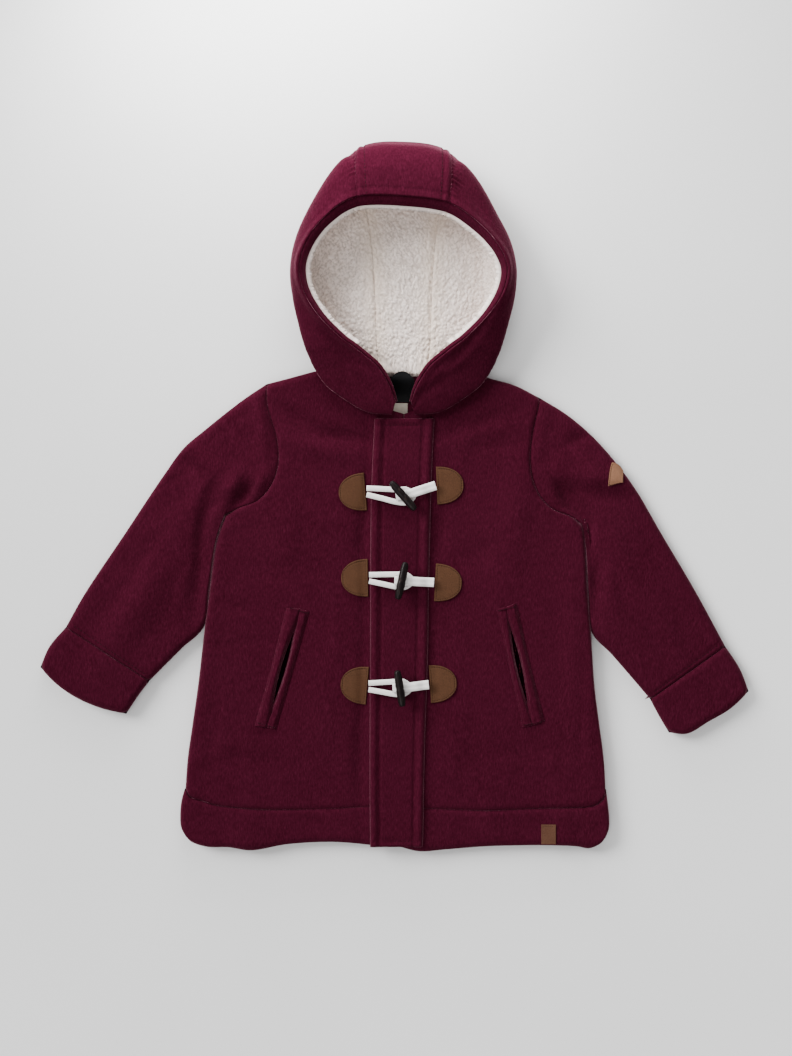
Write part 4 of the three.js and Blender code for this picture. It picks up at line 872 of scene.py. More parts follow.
def tube(name, flat, height, rows, columns, top_turns, bottom_turns, extra=None):
    u, v = np.meshgrid(columns, rows)
    over = laid(flat, height, 1, top_turns, u, v)
    under = laid(flat, height, -1, bottom_turns, u, v)
    if extra is not None:
        over[..., 2] += extra(u, v)
    over[:, 0, 2] = over[:, -1, 2] = height / 2
    outer = np.concatenate([over, under[:, -2:0:-1]], 1)

    def out(grid):
        found = np.zeros_like(grid)
        found[..., 2] = grid[..., 2] - height / 2
        return found
    inner = inner_grid(outer, height, SLEEVE_CLOTH, out, True)
    return wall(name, outer, inner, WOOL, True)


def sleeve_plan(side):
    armhole = backwards(shifted(curve(pick(ARMHOLE, side)), -TOWARDS[side] * SEAM_GAP / 2))
    outer, inner = curve(pick(SLEEVE_OUTER, side)), curve(pick(SLEEVE_INNER, side))
    away = np.array([TOWARDS[side] * SEAM_GAP, SEAM_GAP])
    chord = straight(armhole(np.array(0.0)), armhole(np.array(1.0)))

    def flat(u, v):
        reach = 0.01 + BOW_REACH * (1 - u) ** 1.3
        bow = (armhole(u) - chord(u)) * np.maximum(0, 1 - v / reach)[..., None]
        uu = u[..., None]
        return outer(v) * (1 - uu) + inner(v) * uu + bow + away
    return flat


FOLDED = {"start": fixed(FULL_TURN), "end": fixed(FULL_TURN)}
SLEEVE_TURNS = {**FOLDED, "near": fixed(SEAM_TURN), "far": fixed(SEAM_TURN)}


def build_sleeves():
    for side in SIDES:
        stitch = 5.6 / 300
        grooved = lambda u, v: -0.9 * np.exp(-((1 - v - stitch) * 300 / 1.4) ** 2)
        piece = tube(
            f"sleeve_{side}_cloth", sleeve_plan(side), SLEEVE_HEIGHT,
            stops(300, CELL, extra=[0.005, 0.012, 0.02]), stops(115, CELL),
            SLEEVE_TURNS, {**FOLDED, "near": fixed(FLAT), "far": fixed(FLAT)}, grooved,
        )
        cloth(piece, f"sleeve_{side}")
        t = np.linspace(0.07, 0.93, 80)
        line = laid(sleeve_plan(side), SLEEVE_HEIGHT, 1, SLEEVE_TURNS, t[None], np.full((1, 80), 1 - stitch))[0]
        stitches(f"sleeve_{side}_stitch", line, -0.8, 3.6, 2.7, 0.8, WOOL_THREAD)


def build_cuffs():
    for side in SIDES:
        away = (TOWARDS[side] * SEAM_GAP * 1.5, -SEAM_GAP)
        outer = moved(curve(pick(CUFF_OUTER, side)), *away)
        inner = moved(curve(pick(CUFF_INNER, side)), *away)
        flat = plan(
            outer, inner, straight(outer(np.array(0.0)), inner(np.array(0.0))),
            moved(curve(pick(CUFF_END, side)), *away),
        )
        piece = tube(
            f"cuff_{side}_cloth", flat, CUFF_HEIGHT, stops(46, 2.4), stops(102, 3.0),
            {**FOLDED, "near": fixed(SEAM_TURN), "far": fixed(HEM_TURN)},
            {**FOLDED, "near": fixed(FLAT), "far": fixed(SEAM_TURN)},
        )
        cloth(piece, f"cuff_{side}")


# ---- What lies on the chest

def on_chest(place, thickness, u, v, rest=REST_GAP):
    spots = place(u, v)
    x, y = spots[..., 0], spots[..., 1]
    under = np.stack([x, y, chest_top(x, y) + rest], -1)
    over = under.copy()
    over[..., 2] += thickness(u, v)
    return over, under


def edge_drop(distance, radius, depth):
    """How far a rounded edge is below the top, at a distance from it"""
    d = np.clip(distance, 0, radius)
    return depth * (1 - np.sqrt(np.maximum(0, 1 - ((radius - d) / radius) ** 2)))


def gape(v):
    """Half the width of a pocket's mouth along its slit"""
    return MOUTH_HALF * np.sin(np.clip(v, 0, 1) * math.pi) ** 1.2


def placket_edges():
    return (
        curve([(left, y) for left, _, y in PLACKET]), curve([(right, y) for _, right, y in PLACKET])
    )


def placket_place(u, v):
    left, right = placket_edges()
    return left(v) * (1 - u[..., None]) + right(v) * u[..., None]


PLACKET_LENGTH, PLACKET_WIDTH = 447.0, 60.0
TOP_STITCH, BOTTOM_STITCH = 7.0, 6.0


def placket_thickness(u, v):
    side = np.minimum(u, 1 - u) * PLACKET_WIDTH
    down_ = v * PLACKET_LENGTH
    up_ = (1 - v) * PLACKET_LENGTH
    groove = 2.0 * np.exp(-((side - RIDGE_WIDTH) / 1.9) ** 2)
    groove = np.maximum(groove, 1.2 * np.exp(-((down_ - TOP_STITCH) / 1.5) ** 2) * (side > 3))
    groove = np.maximum(groove, 1.1 * np.exp(-((up_ - BOTTOM_STITCH) / 1.5) ** 2) * (side > 3))
    roll = PLACKET_RIDGE * np.exp(-((side - RIDGE_WIDTH * 0.45) / 4.6) ** 2)
    quilt = 0.22 * np.sin(v * PLACKET_LENGTH / 9.0 + 1.3 * np.sin(v * 31)) * np.exp(-((side - 5) / 4) ** 2)
    edge = edge_drop(side, 3.2, 3.2) + edge_drop(down_, 2.6, 2.4) + edge_drop(up_, 2.6, 2.4)
    return PLACKET_CLOTH + roll - groove + quilt - np.minimum(edge, PLACKET_CLOTH + roll - groove + quilt - 0.4)


def build_placket():
    u, v = np.meshgrid(stops(60, 0.85), stops(PLACKET_LENGTH, 2.6))
    over, under = on_chest(placket_place, placket_thickness, u, v)
    cloth(
        wall("placket_cloth", over, under, WOOL), "placket",
    )
    share = RIDGE_WIDTH / PLACKET_WIDTH
    t = np.linspace(TOP_STITCH / PLACKET_LENGTH, 1 - BOTTOM_STITCH / PLACKET_LENGTH, 300)
    for name, at in (("left", share), ("right", 1 - share)):
        line = on_chest(placket_place, placket_thickness, np.full_like(t, at), t)[0]
        stitches(f"placket_stitch_{name}", line, 0.0, 3.6, 2.7, 0.75, WOOL_THREAD)
    across = np.linspace(share, 1 - share, 60)
    for name, at in (("top", TOP_STITCH / PLACKET_LENGTH), ("bottom", 1 - BOTTOM_STITCH / PLACKET_LENGTH)):
        line = on_chest(placket_place, placket_thickness, across, np.full_like(across, at))[0]
        stitches(f"placket_stitch_{name}", line, 0.0, 3.6, 2.7, 0.75, WOOL_THREAD)


def build_welts():
    """Pockets with two stitched lips, and a near-black sheet as painted shade in the mouth that gapes between them"""
    for side, slit_from, slit_to, outer_from, outer_to in WELTS:
        slit, outer = straight(slit_from, slit_to), straight(outer_from, outer_to)
        way = np.subtract(slit_to, slit_from)
        away = np.array([-way[1], way[0]]) / np.hypot(*way) * TOWARDS[side]
        for sign, name, lift in ((1, "cloth", 0.0), (-1, "lip", -0.5)):
            def place(u, v):
                start = slit(v) + sign * away * gape(v)[..., None]
                end = outer(v) if sign > 0 else slit(v) - away * (INNER_LIP + 0.3 * gape(v))[..., None]
                return start * (1 - u[..., None]) + end * u[..., None]

            def thickness(u, v):
                from_slit, from_outer = u * LIP_WIDTH, (1 - u) * LIP_WIDTH
                ends = np.minimum(v, 1 - v) * 127.0
                swell = 1.3 * np.exp(-((from_slit - 2.5) / 3.5) ** 2) * gape(v) / MOUTH_HALF
                body = WELT_CLOTH + lift + swell - 0.5 * np.exp(-((ends - 3.5) / 1.0) ** 2)
                drop = edge_drop(from_slit, 1.8, 1.3) + edge_drop(from_outer, 2.8, 2.0) + edge_drop(ends, 1.8, 1.2)
                return body - np.minimum(drop, body - 0.3)
            u, v = np.meshgrid(stops(LIP_WIDTH, 0.7), stops(127, 2.2))
            over, under = on_chest(place, thickness, u, v)
            piece = wall(f"welt_{side}_{name}", over, under, WOOL)
            if sign > 0:
                cloth(piece, f"welt_{side}")
            else:
                dress(piece, None)

        # A near-black sheet lying in the slit: painted shade inside the pocket's mouth
        def mouth(u, v):
            return slit(v) + away * ((2 * u - 1) * (gape(v) + 0.9))[..., None]
        u, v = np.meshgrid(np.linspace(0, 1, 9), np.linspace(0.01, 0.99, 70))
        over, under = on_chest(mouth, lambda u, v: np.full_like(u, 0.4), u, v, 0.1)
        dress(wall(f"pocket_mouth_shade_{side}", over, under, POCKET_SHADE), None)
        for number, at in enumerate((0.016, 0.984)):
            t = np.linspace(-9.5, 12.0, 34)
            spots = slit(np.full_like(t, at)) + away * t[:, None]
            line = np.concatenate([spots, chest_top(spots[:, :1], spots[:, 1:]) + 2.2], -1)
            stitches(f"welt_{side}_bar_{number}", line, 0.1, 2.0, 1.7, 0.8, WOOL_THREAD)


def patch_place(x, y, turn):
    angle = math.radians(turn)
    way = np.array([math.cos(angle), math.sin(angle)])
    side = np.array([-way[1], way[0]])

    def place(u, v):
        reach = np.sin(u * math.pi / 2)
        half = PATCH_HEIGHT / 2 * (1 - reach ** 2.4) ** 0.5 + 0.4
        return (
            np.array([x, y]) + way * (reach * PATCH_LENGTH)[..., None] + side * ((v - 0.5) * 2 * half)[..., None]
        )
    return place


def patch_depth(u, v):
    """Distance of a place on a patch to its outline, roughly"""
    reach = np.sin(u * math.pi / 2)
    half = PATCH_HEIGHT / 2 * (1 - reach ** 2.4) ** 0.5 + 0.4
    from_sides = np.minimum(v, 1 - v) * 2 * half
    from_tip = (1 - reach) * PATCH_LENGTH
    return np.minimum(np.minimum(reach * PATCH_LENGTH, from_sides), from_tip)


def build_patch(name, x, y, turn):
    place = patch_place(x, y, turn)

    def thickness(u, v):
        depth = patch_depth(u, v)
        dent = 0.35 * np.exp(-((depth - 2.0) / 0.7) ** 2)
        return LEATHER * 0.85 - edge_drop(depth, 0.9, 0.75) - dent
    u, v = np.meshgrid(
        np.unique(np.concatenate([np.linspace(0, 0.06, 5), np.linspace(0.06, 0.97, 34), np.linspace(0.97, 1, 6)])),
        np.unique(np.concatenate([np.linspace(0, 0.05, 6), np.linspace(0.05, 0.95, 38), np.linspace(0.95, 1, 6)])),
    )
    u, v = u.T, v.T
    over, under = on_chest(place, thickness, u, v)
    piece = wall(name + "_leather", over, under, BROWN_LEATHER)
    cloth(piece, name)
    inset = 2.0
    t = np.linspace(0, 1, 60)
    reach_end = 1 - inset / PATCH_LENGTH
    start = inset / PATCH_LENGTH
    top = np.arcsin(start + (reach_end - start) * np.sin(t * math.pi / 2)) / (math.pi / 2)
    half = PATCH_HEIGHT / 2 * (1 - np.sin(top * math.pi / 2) ** 2.4) ** 0.5 + 0.4
    v_top = 1 - np.minimum(inset / (2 * half), 0.5)
    us = np.concatenate([top, top[::-1], np.full(30, top[0])])
    vs = np.concatenate([v_top, 1 - v_top[::-1], np.linspace(1 - v_top[0], v_top[0], 30)])
    line = on_chest(place, thickness, us, vs)[0]
    stitches(name + "_stitch", line, 0.05, 2.6, 1.9, 0.55, BROWN_THREAD)


# ---- Toggles and their cords

PLACKET_TOP = BODY_HEIGHT + REST_GAP + PLACKET_CLOTH + PLACKET_RIDGE
LOOP_LEVEL = PLACKET_TOP + REST_GAP + CORD_THICK / 2
STEM_LEVEL = LOOP_LEVEL + CORD_THICK + REST_GAP
TOGGLE_LEVEL = STEM_LEVEL + CORD_THICK / 2 + REST_GAP + TOGGLE_RADIUS


def braid(path, width, thick, strands=1, count=150):
    """Rings of a flat braided cord along a path, or of two cords side by side"""
    samples = catmull(path, np.linspace(0, 1, 60 * len(path)))
    lengths = np.concatenate([[0], np.cumsum(np.linalg.norm(np.diff(samples, axis=0), axis=1))])
    at = np.linspace(0, lengths[-1], count)
    middle = np.stack([np.interp(at, lengths, samples[:, k]) for k in range(3)], -1)
    way = np.gradient(middle, axis=0)
    way /= np.linalg.norm(way, axis=1, keepdims=True)
    side = np.stack([-way[:, 1], way[:, 0], np.zeros(count)], -1)
    side /= np.linalg.norm(side, axis=1, keepdims=True)
    rise = -np.cross(way, side)
    angle = np.linspace(0, 2 * math.pi, 28, endpoint=False)
    a = np.sign(np.cos(angle)) * np.abs(np.cos(angle)) ** 0.8
    b = np.sign(np.sin(angle)) * np.abs(np.sin(angle)) ** 0.8
    plait = 0.13 * np.sin(at[:, None] * 2 * math.pi / 1.9 + np.abs(a)[None] * 3.4) * (b > 0)[None]
    height = b[None] * thick / 2 * (1 + plait)
    if strands == 2:
        height = height * (1 - 0.4 * np.exp(-((a * width / 2) / 0.7) ** 2))[None]
    return (
        middle[:, None] + side[:, None] * (a * width / 2)[None, :, None] + rise[:, None] * height[..., None]
    )


def build_closure(name, from_, to, left, right):
    start, end = np.array(from_), np.array(to)
    middle = (start + end) / 2
    length = np.linalg.norm(end - start)
    way = np.append((end - start) / length, 0)
    side = np.array([-way[1], way[0], 0])
    rise = np.array([0.0, 0, 1])
    share = np.linspace(0, 1, 64)
    radius = catmull(
        [(0, 0.02), (0.012, 0.5), (0.05, 0.72), (0.16, 0.88), (0.34, 0.97), (0.47, 1), (0.53, 1), (0.66, 0.97),
         (0.84, 0.88), (0.95, 0.72), (0.988, 0.5), (1, 0.02)], np.linspace(0, 1, 200),
    )
    r = np.interp(share, radius[:, 0], radius[:, 1]) * TOGGLE_RADIUS
    r *= 1 - 0.09 * np.exp(-((share - 0.5) * length / 1.6) ** 2)
    angle = np.linspace(0, 2 * math.pi, 40, endpoint=False)
    facet = 1 + 0.035 * np.cos(3 * angle + 0.6)
    spine = np.append(middle, TOGGLE_LEVEL) + way * ((share - 0.5) * length)[:, None]
    rings = (
        spine[:, None] + side * (np.cos(angle) * facet)[None, :, None] * r[:, None, None]
        + rise * (np.sin(angle) * facet)[None, :, None] * r[:, None, None] * 0.97
    )
    dress(loft(f"toggle_{name}_horn", rings, HORN), f"toggle_{name}")

    start_x = left[0] + 1.2
    apart = CORD_WIDTH / 2 + 0.35
    spread = apart + 3.2

    def strand(sign):
        return [
            (start_x, left[1] + sign * apart, LOOP_LEVEL + 0.2),
            (start_x * 0.5 + (middle[0] - 5) * 0.5, (left[1] + middle[1]) / 2 + sign * (apart + spread) / 2, LOOP_LEVEL),
            (middle[0] - 5, middle[1] + sign * spread, LOOP_LEVEL),
            (middle[0] + 4, middle[1] + sign * spread, LOOP_LEVEL),
        ]
    loop = [*strand(1), (middle[0] + 11, middle[1], LOOP_LEVEL), *strand(-1)[::-1]]
    dress(
        loft(f"loop_{name}_cord", braid(loop, CORD_WIDTH - 0.4, CORD_THICK, 1, 260), COTTON),
        f"loop_{name}",
    )
    stem_x = right[0] - 1.2
    stem = [
        (stem_x, right[1], LOOP_LEVEL + 0.2),
        (stem_x * 0.8 + middle[0] * 0.2, right[1] * 0.8 + middle[1] * 0.2, LOOP_LEVEL + 0.2),
        (stem_x * 0.55 + middle[0] * 0.45, right[1] * 0.55 + middle[1] * 0.45, STEM_LEVEL),
        (stem_x * 0.2 + middle[0] * 0.8, right[1] * 0.2 + middle[1] * 0.8, STEM_LEVEL),
        (middle[0] - 7.5, middle[1], STEM_LEVEL),
    ]
    dress(
        loft(f"stem_{name}_cord", braid(stem, CORD_WIDTH * 1.6, CORD_THICK, 2, 120), COTTON),
        f"stem_{name}",
    )
    build_patch(f"patch_{name}_left", *left)
    build_patch(f"patch_{name}_right", *right)


# ---- Hood

# Folds of the hood's sides, with the columns of FOLDS
HOOD_FOLDS = [
    (-46.0, 144.0, -42, 40, 6.0, -1.7), (-62.0, 136.0, -44, 40, 8.0, 1.3), (-92.0, 186.0, -62, 30, 6.0, -1.2),
    (-80.0, 168.0, -50, 26, 5.0, 1.0), (99.0, 186.0, 54, 34, 5.0, -1.6), (79.0, 156.0, 45, 36, 5.0, -1.4),
    (92.0, 168.0, 50, 34, 5.0, 1.3), (112.0, 200.0, 62, 26, 6.0, 1.1), (58.0, 132.0, 34, 30, 6.0, 1.0),
    (-100.0, 240.0, 88, 30, 9.0, 0.8), (118.0, 250.0, 92, 30, 9.0, 0.7), (-64.0, 320.0, 58, 24, 8.0, 0.8),
    (88.0, 316.0, -58, 24, 8.0, 0.8), (-70.0, 290.0, 64, 20, 6.0, -0.6), (92.0, 290.0, -62, 22, 6.0, -0.7),
    (-30.0, 128.0, -30, 20, 5.0, 0.9), (40.0, 112.0, 38, 22, 5.0, -0.8), (-20.0, 106.0, -44, 22, 5.0, -0.8),
]

# Gathers beside the crown seams: side, distance from the rim, spread, number per mm, height
GATHERS = [("right", 27.0, 15.0, 0.21, 1.5), ("left", 34.0, 11.0, 0.2, 1.1)]


def hood_tracks(t):
    return [catmull(HOOD[:, 3 * k:3 * k + 3], t, False) for k in range(4)]


def lip_width(t):
    return catmull(HOOD[:, 12:13], t, False)[:, 0]


def hood_side(side, rows, columns):
    tracks = hood_tracks(rows)
    grid = np.array([curve([track[i] for track in tracks])(columns) for i in range(len(rows))])
    x = HOOD_MIDDLE + TOWARDS[side] * grid[..., 0]
    y, z = grid[..., 1], grid[..., 2]
    tilt = RIM_TILT * (x - HOOD_MIDDLE) * np.clip((y - RIM_TILT_FROM) / RIM_TILT_FADE, 0, 1)
    y = y - tilt * np.clip(z / HOOD[0, 2], 0, 1)
    return np.stack([x, y, np.maximum(0, z)], -1)


def run(grid, axis):
    """Distance of each point from the first row or column, along the grid"""
    steps = np.linalg.norm(np.diff(grid, axis=axis), axis=-1)
    total = np.cumsum(steps, axis=axis)
    return np.concatenate([np.zeros_like(np.take(total, [0], axis)), total], axis)


def from_hood(grid):
    return grid - np.array([HOOD_MIDDLE, 225.0, 45.0])


HOOD_ROWS = np.unique(np.concatenate([
    [0, 0.0012, 0.003, 0.006], np.linspace(0.009, NECK_AT, 80), np.linspace(NECK_AT, 0.992, 44), [0.996, 0.9985, 1],
]))
HOOD_COLUMNS = stops(112, 2.5)
TUCK_AT = 6
NECK = int(np.argmin(np.abs(HOOD_ROWS - NECK_AT)))
ACROSS = stops(92, 2.7)


def gusset_grid(grids):
    lines = [np.concatenate([grids[s][0], grids[s][1:NECK + 1, -1]]) for s in SIDES]
    crown = len(HOOD_COLUMNS)
    share = ACROSS[None, :, None]
    inset = (SEAM_GAP / np.linalg.norm(lines[1] - lines[0], axis=1))[:, None, None]
    mixed = inset + (1 - 2 * inset) * share
    place = lines[0][:, None] * (1 - mixed) + lines[1][:, None] * mixed
    bow = 4 * ACROSS * (1 - ACROSS)
    over = np.concatenate([0.38 + 0.62 * smooth(HOOD_COLUMNS, 0, 1), np.ones(len(place) - crown)])[:, None]
    beyond = (np.arange(len(place)) > crown - 1)[:, None]
    over = np.where(beyond, np.clip(place[..., 2] / 14, 0, 1), over)
    place[..., 2] += 1.2 * bow[None] * smooth(place[..., 2], 36, 46)
    flatter = 1 - np.abs(2 * ACROSS - 1) ** 3.0
    place[..., 1] += CROWN_BULGE * flatter[None] * over
    return place


def hood_surfaces():
    grids = {s: hood_side(s, HOOD_ROWS, HOOD_COLUMNS) for s in SIDES}
    gusset = gusset_grid(grids)
    n = {s: normals(grids[s], from_hood) for s in SIDES}
    n["middle"] = normals(gusset, from_hood)
    crown = len(HOOD_COLUMNS)
    for s, column in (("left", 0), ("right", -1)):
        seam = np.concatenate([n[s][0], n[s][1:NECK + 1, -1]]) + n["middle"][:, column]
        seam /= np.linalg.norm(seam, axis=-1, keepdims=True)
        n["middle"][:, column] = seam
        n[s][0] = seam[:crown]
        n[s][1:NECK + 1, -1] = seam[crown:]
    return grids, gusset, n


def build_hood(grids, gusset, n):
    for s in SIDES:
        grid, out = grids[s], n[s]
        from_crown = run(grid, 0)
        from_rim = run(grid, 1)
        from_seam = from_rim[:, -1:] - from_rim
        rise = 1.7 * ridges(grid[..., 0], grid[..., 1], HOOD_FOLDS) * np.clip(out[..., 2] + 0.5, 0, 1)
        for side, at, spread, often, high_ in GATHERS:
            if side == s:
                window = np.exp(-((from_rim - at) / spread) ** 2) * np.exp(-(from_crown / 13.0) ** 2)
                wave = np.sin(2 * math.pi * (from_rim * often + 0.12 * np.sin(from_rim * 0.35)) + from_crown * 0.05)
                rise = rise + high_ * wave * window
        backs = np.exp(-(from_seam / 12.0) ** 2) * (HOOD_ROWS < NECK_AT)[:, None]
        rise = rise + 0.3 * np.sin(from_crown * 0.55) * backs * (grid[..., 2] > 2)
        seam_dip = 1.5 * np.exp(-(from_crown / 2.6) ** 2)
        seam_dip = seam_dip + 1.5 * np.exp(-(from_seam / 2.6) ** 2) * (HOOD_ROWS <= NECK_AT)[:, None]
        rise = rise - 0.5 * np.exp(-((from_rim - 7.5) / 1.6) ** 2)
        outer = grid + out * (rise - seam_dip)[..., None]
        outer[..., 2] = np.maximum(outer[..., 2], 0)
        inner = grid - out * HOOD_WOOL
        outer, inner = rounded(outer, inner, out, from_rim, HOOD_WOOL)
        ends = np.where((HOOD_ROWS > NECK_AT)[:, None], from_seam, 99.0)
        outer, inner = rounded(outer, inner, out, ends, HOOD_WOOL)
        cloth(
            wall(f"hood_{s}_cloth", outer, inner, WOOL), f"hood_{s}",
        )
    side_run = run(gusset, 1)
    from_side = np.minimum(side_run, side_run[:, -1:] - side_run)
    from_rim = run(gusset, 0)
    on_top = (gusset[..., 2] > 1)
    rise = -1.5 * np.exp(-(from_side / 2.6) ** 2)
    rise = rise - 1.0 * np.exp(-((from_side - 8.6) / 1.5) ** 2) - 0.5 * np.exp(-((from_rim - 7.5) / 1.6) ** 2)
    rise = rise + 0.35 * np.exp(-((from_side - 4.8) / 2.4) ** 2)
    rise = rise + 0.5 * ridges(gusset[..., 0], gusset[..., 1], [
        (-10.0, 330.0, 80, 20, 8, 0.9), (28.0, 326.0, 98, 22, 9, -0.8), (52.0, 334.0, 84, 16, 6, 0.8),
        (8.0, 340.0, 10, 26, 6, 0.8),
    ]) * on_top
    outer = gusset + n["middle"] * rise[..., None]
    outer[..., 2] = np.maximum(outer[..., 2], 0)
    inner = gusset - n["middle"] * HOOD_WOOL
    outer, inner = rounded(outer, inner, n["middle"], from_rim, HOOD_WOOL)
    cloth(
        wall("hood_middle_cloth", outer, inner, WOOL), "hood_middle"
    )
    for name, at in (("left", 8.6), ("right", -8.6)):
        share = at / 92 if at > 0 else 1 + at / 92
        column = int(np.argmin(np.abs(ACROSS - share)))
        rows = slice(3, len(HOOD_COLUMNS) + int(NECK * 0.9))
        line = outer[rows, column]
        stitches(f"hood_stitch_{name}", line, 0.0, 3.8, 2.8, 0.75, WOOL_THREAD)


def rim_stations(grids, gusset, n):
    spots = np.concatenate([grids["left"][::-1, 0], gusset[0, 1:-1], grids["right"][:, 0]])
    out = np.concatenate([n["left"][::-1, 0], n["middle"][0, 1:-1], n["right"][:, 0]])
    along = np.concatenate([HOOD_ROWS[::-1], np.zeros(len(ACROSS) - 2), HOOD_ROWS])
    way = spots[np.minimum(np.arange(len(spots)) + 2, len(spots) - 1)] - spots[np.maximum(np.arange(len(spots)) - 2, 0)]
    way[:, 2] = 0
    way /= np.maximum(np.linalg.norm(way, axis=1, keepdims=True), 1e-9)
    into = np.stack([way[:, 1], -way[:, 0], np.zeros(len(way))], -1)
    lip = lip_width(along)
    root = spots - out * (HOOD_WOOL + REST_GAP)
    tuck = np.concatenate([
        (grids["left"] - n["left"] * (HOOD_WOOL + REST_GAP))[::-1, TUCK_AT],
        (gusset - n["middle"] * (HOOD_WOOL + REST_GAP))[TUCK_AT, 1:-1],
        (grids["right"] - n["right"] * (HOOD_WOOL + REST_GAP))[:, TUCK_AT],
    ])
    edge = spots + into * lip[:, None]
    edge[:, 2] -= LIP_SLOPE * lip
    return tuck, root, edge, into, lip


def build_band(tuck, root, edge, into, lip):
    k = np.array([0.0, 0, 1])
    count = len(root)
    wave = 0.35 * np.sin(np.arange(count) * 0.31 + 1.7 * np.sin(np.arange(count) * 0.07))
    rings = []
    r = BAND_CLOTH / 2
    for i in range(count):
        span = edge[i] - root[i]
        width = np.linalg.norm(span)
        along = span / max(width, 1e-9)
        ring = [tuck[i]]
        for share in np.linspace(0, 1, 9):
            bulge = 0.9 * math.sin(share * math.pi) * min(1, lip[i] / 6) + wave[i] * share * (1 - share)
            ring.append(root[i] + along * (width - r) * share + k * bulge)
        for angle in np.linspace(75, -75, 7):
            a = math.radians(angle)
            ring.append(edge[i] - along * r + along * r * math.cos(a) + k * (r * math.sin(a) - r))
        for share in np.linspace(1, 0, 9):
            ring.append(root[i] + along * (width - r) * share - k * BAND_CLOTH)
        ring.append(tuck[i] * 0.9 + root[i] * 0.1 - k * BAND_CLOTH * 0.6)
        rings.append(ring)
    piece = loft("hood_band_cloth", np.array(rings), WOOL)
    cloth(piece, "hood_band")


def curls(points, size, squeeze):
    """Height of curly pile at points: rounded worms with narrow creases between them"""
    found = np.empty(len(points))
    for i, p in enumerate(points):
        q = Vector(p) / size
        q += 0.42 * noise.noise_vector(q * 0.9) + 0.2 * noise.noise_vector(q * 2.3)
        q.x *= squeeze
        distances = noise.voronoi(q)[0]
        found[i] = min(1.0, (distances[1] - distances[0]) * 2.1) ** 0.7
    return found


def resampled(rows, count):
    """Each row of points spread evenly over a number of columns and softened"""
    result = []
    share = np.linspace(0, 1, count)
    for row in rows:
        lengths = np.concatenate([[0], np.cumsum(np.linalg.norm(np.diff(row, axis=0), axis=1))])
        result.append(np.stack([np.interp(share * lengths[-1], lengths, row[:, k]) for k in range(3)], -1))
    grid = np.array(result)
    for _ in range(10):
        grid[:, 1:-1] = (grid[:, :-2] + 2 * grid[:, 1:-1] + grid[:, 2:]) / 4
    return grid


def even_rows(grid, count):
    return resampled(grid.transpose(1, 0, 2), count).transpose(1, 0, 2)


FIRST_SHARE = 1 / 6


def build_lining(name, grid, out, edge, into, share, rows, columns, seam_ends, puff, roll):
    keep = share >= FIRST_SHARE - 1e-6
    start = edge + np.array([0, 0, -BAND_CLOTH - REST_GAP])
    behind = np.concatenate([start[:, None], (grid - out * (HOOD_WOOL + REST_GAP))[:, keep]], 1)
    front = np.concatenate([
        (start + into * SHERPA * 0.72)[:, None], (grid - out * (HOOD_WOOL + REST_GAP + SHERPA - 1.2))[:, keep]
    ], 1)
    behind, front = even_rows(resampled(behind, columns), rows), even_rows(resampled(front, columns), rows)
    inwards = -normals(front, from_hood)
    height = curls(front.reshape(-1, 3).tolist(), 3.7, 0.86).reshape(front.shape[:2])
    slow = curls(front[::3, ::3].reshape(-1, 3).tolist(), 15.0, 1.0).reshape(front[::3, ::3].shape[:2])
    slow = np.repeat(np.repeat(slow, 3, 0), 3, 1)[:front.shape[0], :front.shape[1]]
    for _ in range(6):
        slow[1:-1, 1:-1] = (slow[:-2, 1:-1] + slow[2:, 1:-1] + slow[1:-1, :-2] + slow[1:-1, 2:]) / 4
    depth = 1 - height
    height = 1.7 * height + 1.0 * slow
    from_edges = np.full(front.shape[:2], 99.0)
    along, across = run(front, 0), run(front, 1)
    for end in seam_ends:
        distance = {"top": along, "last": across[:, -1:] - across, "bottom": along[-1:] - along}[end]
        from_edges = np.minimum(from_edges, distance)
    height = height - 1.2 * np.exp(-(from_edges / 2.2) ** 2)
    height = height + puff * np.exp(-((across - 3.0) / 3.0) ** 2) * (0.4 + 0.6 * np.sin(along * 0.4) ** 2)
    front = front + inwards * height[..., None]
    overhang = roll * np.exp(-((along[-1:] - along if name != "lining_middle" else across[:, -1:] - across) / 7.0) ** 2)
    front[..., 1] -= 12.0 * overhang
    front[..., 2] += 2.5 * overhang
    piece = wall(name + "_pile", behind, front, SHERPA_PILE)
    nothing = np.zeros(behind.shape[:2])
    warmth = np.exp(-(from_edges / 13.0) ** 2)
    # pile_depth darkens the pile in the shader as painted shade down between the curls; pile_warmth gives a warmer tone
    # beside the seams
    for label, values in (("pile_depth", depth), ("pile_warmth", warmth)):
        attribute = piece.data.attributes.new(label, "FLOAT", "POINT")
        attribute.data.foreach_set("value", np.concatenate([nothing.ravel(), values.ravel()]))
    return dress(piece, name)


def build_linings(grids, gusset, n, edge, into):
    count = len(HOOD_ROWS)
    ends = {
        "left": (edge[:count][::-1], into[:count][::-1]),
        "right": (edge[-count:], into[-count:]),
    }
    for s in SIDES:
        rows = slice(0, NECK + 1)
        piece = build_lining(
            f"lining_{s}", grids[s][rows], n[s][rows], ends[s][0][rows], ends[s][1][rows], HOOD_COLUMNS,
            200, 130, ("top", "last"), 0.5, 0.0,
        )
    middle = slice(count - 1, len(edge) - count + 1)
    share = np.linspace(0, 1, len(gusset))
    piece = build_lining(
        "lining_middle", gusset.transpose(1, 0, 2), n["middle"].transpose(1, 0, 2), edge[middle], into[middle],
        np.where(np.arange(len(gusset)) * 0 + share > 0, share, 0), 84, 290, ("top", "bottom"), 0.9, 1.0,
    )


# ---- Labels

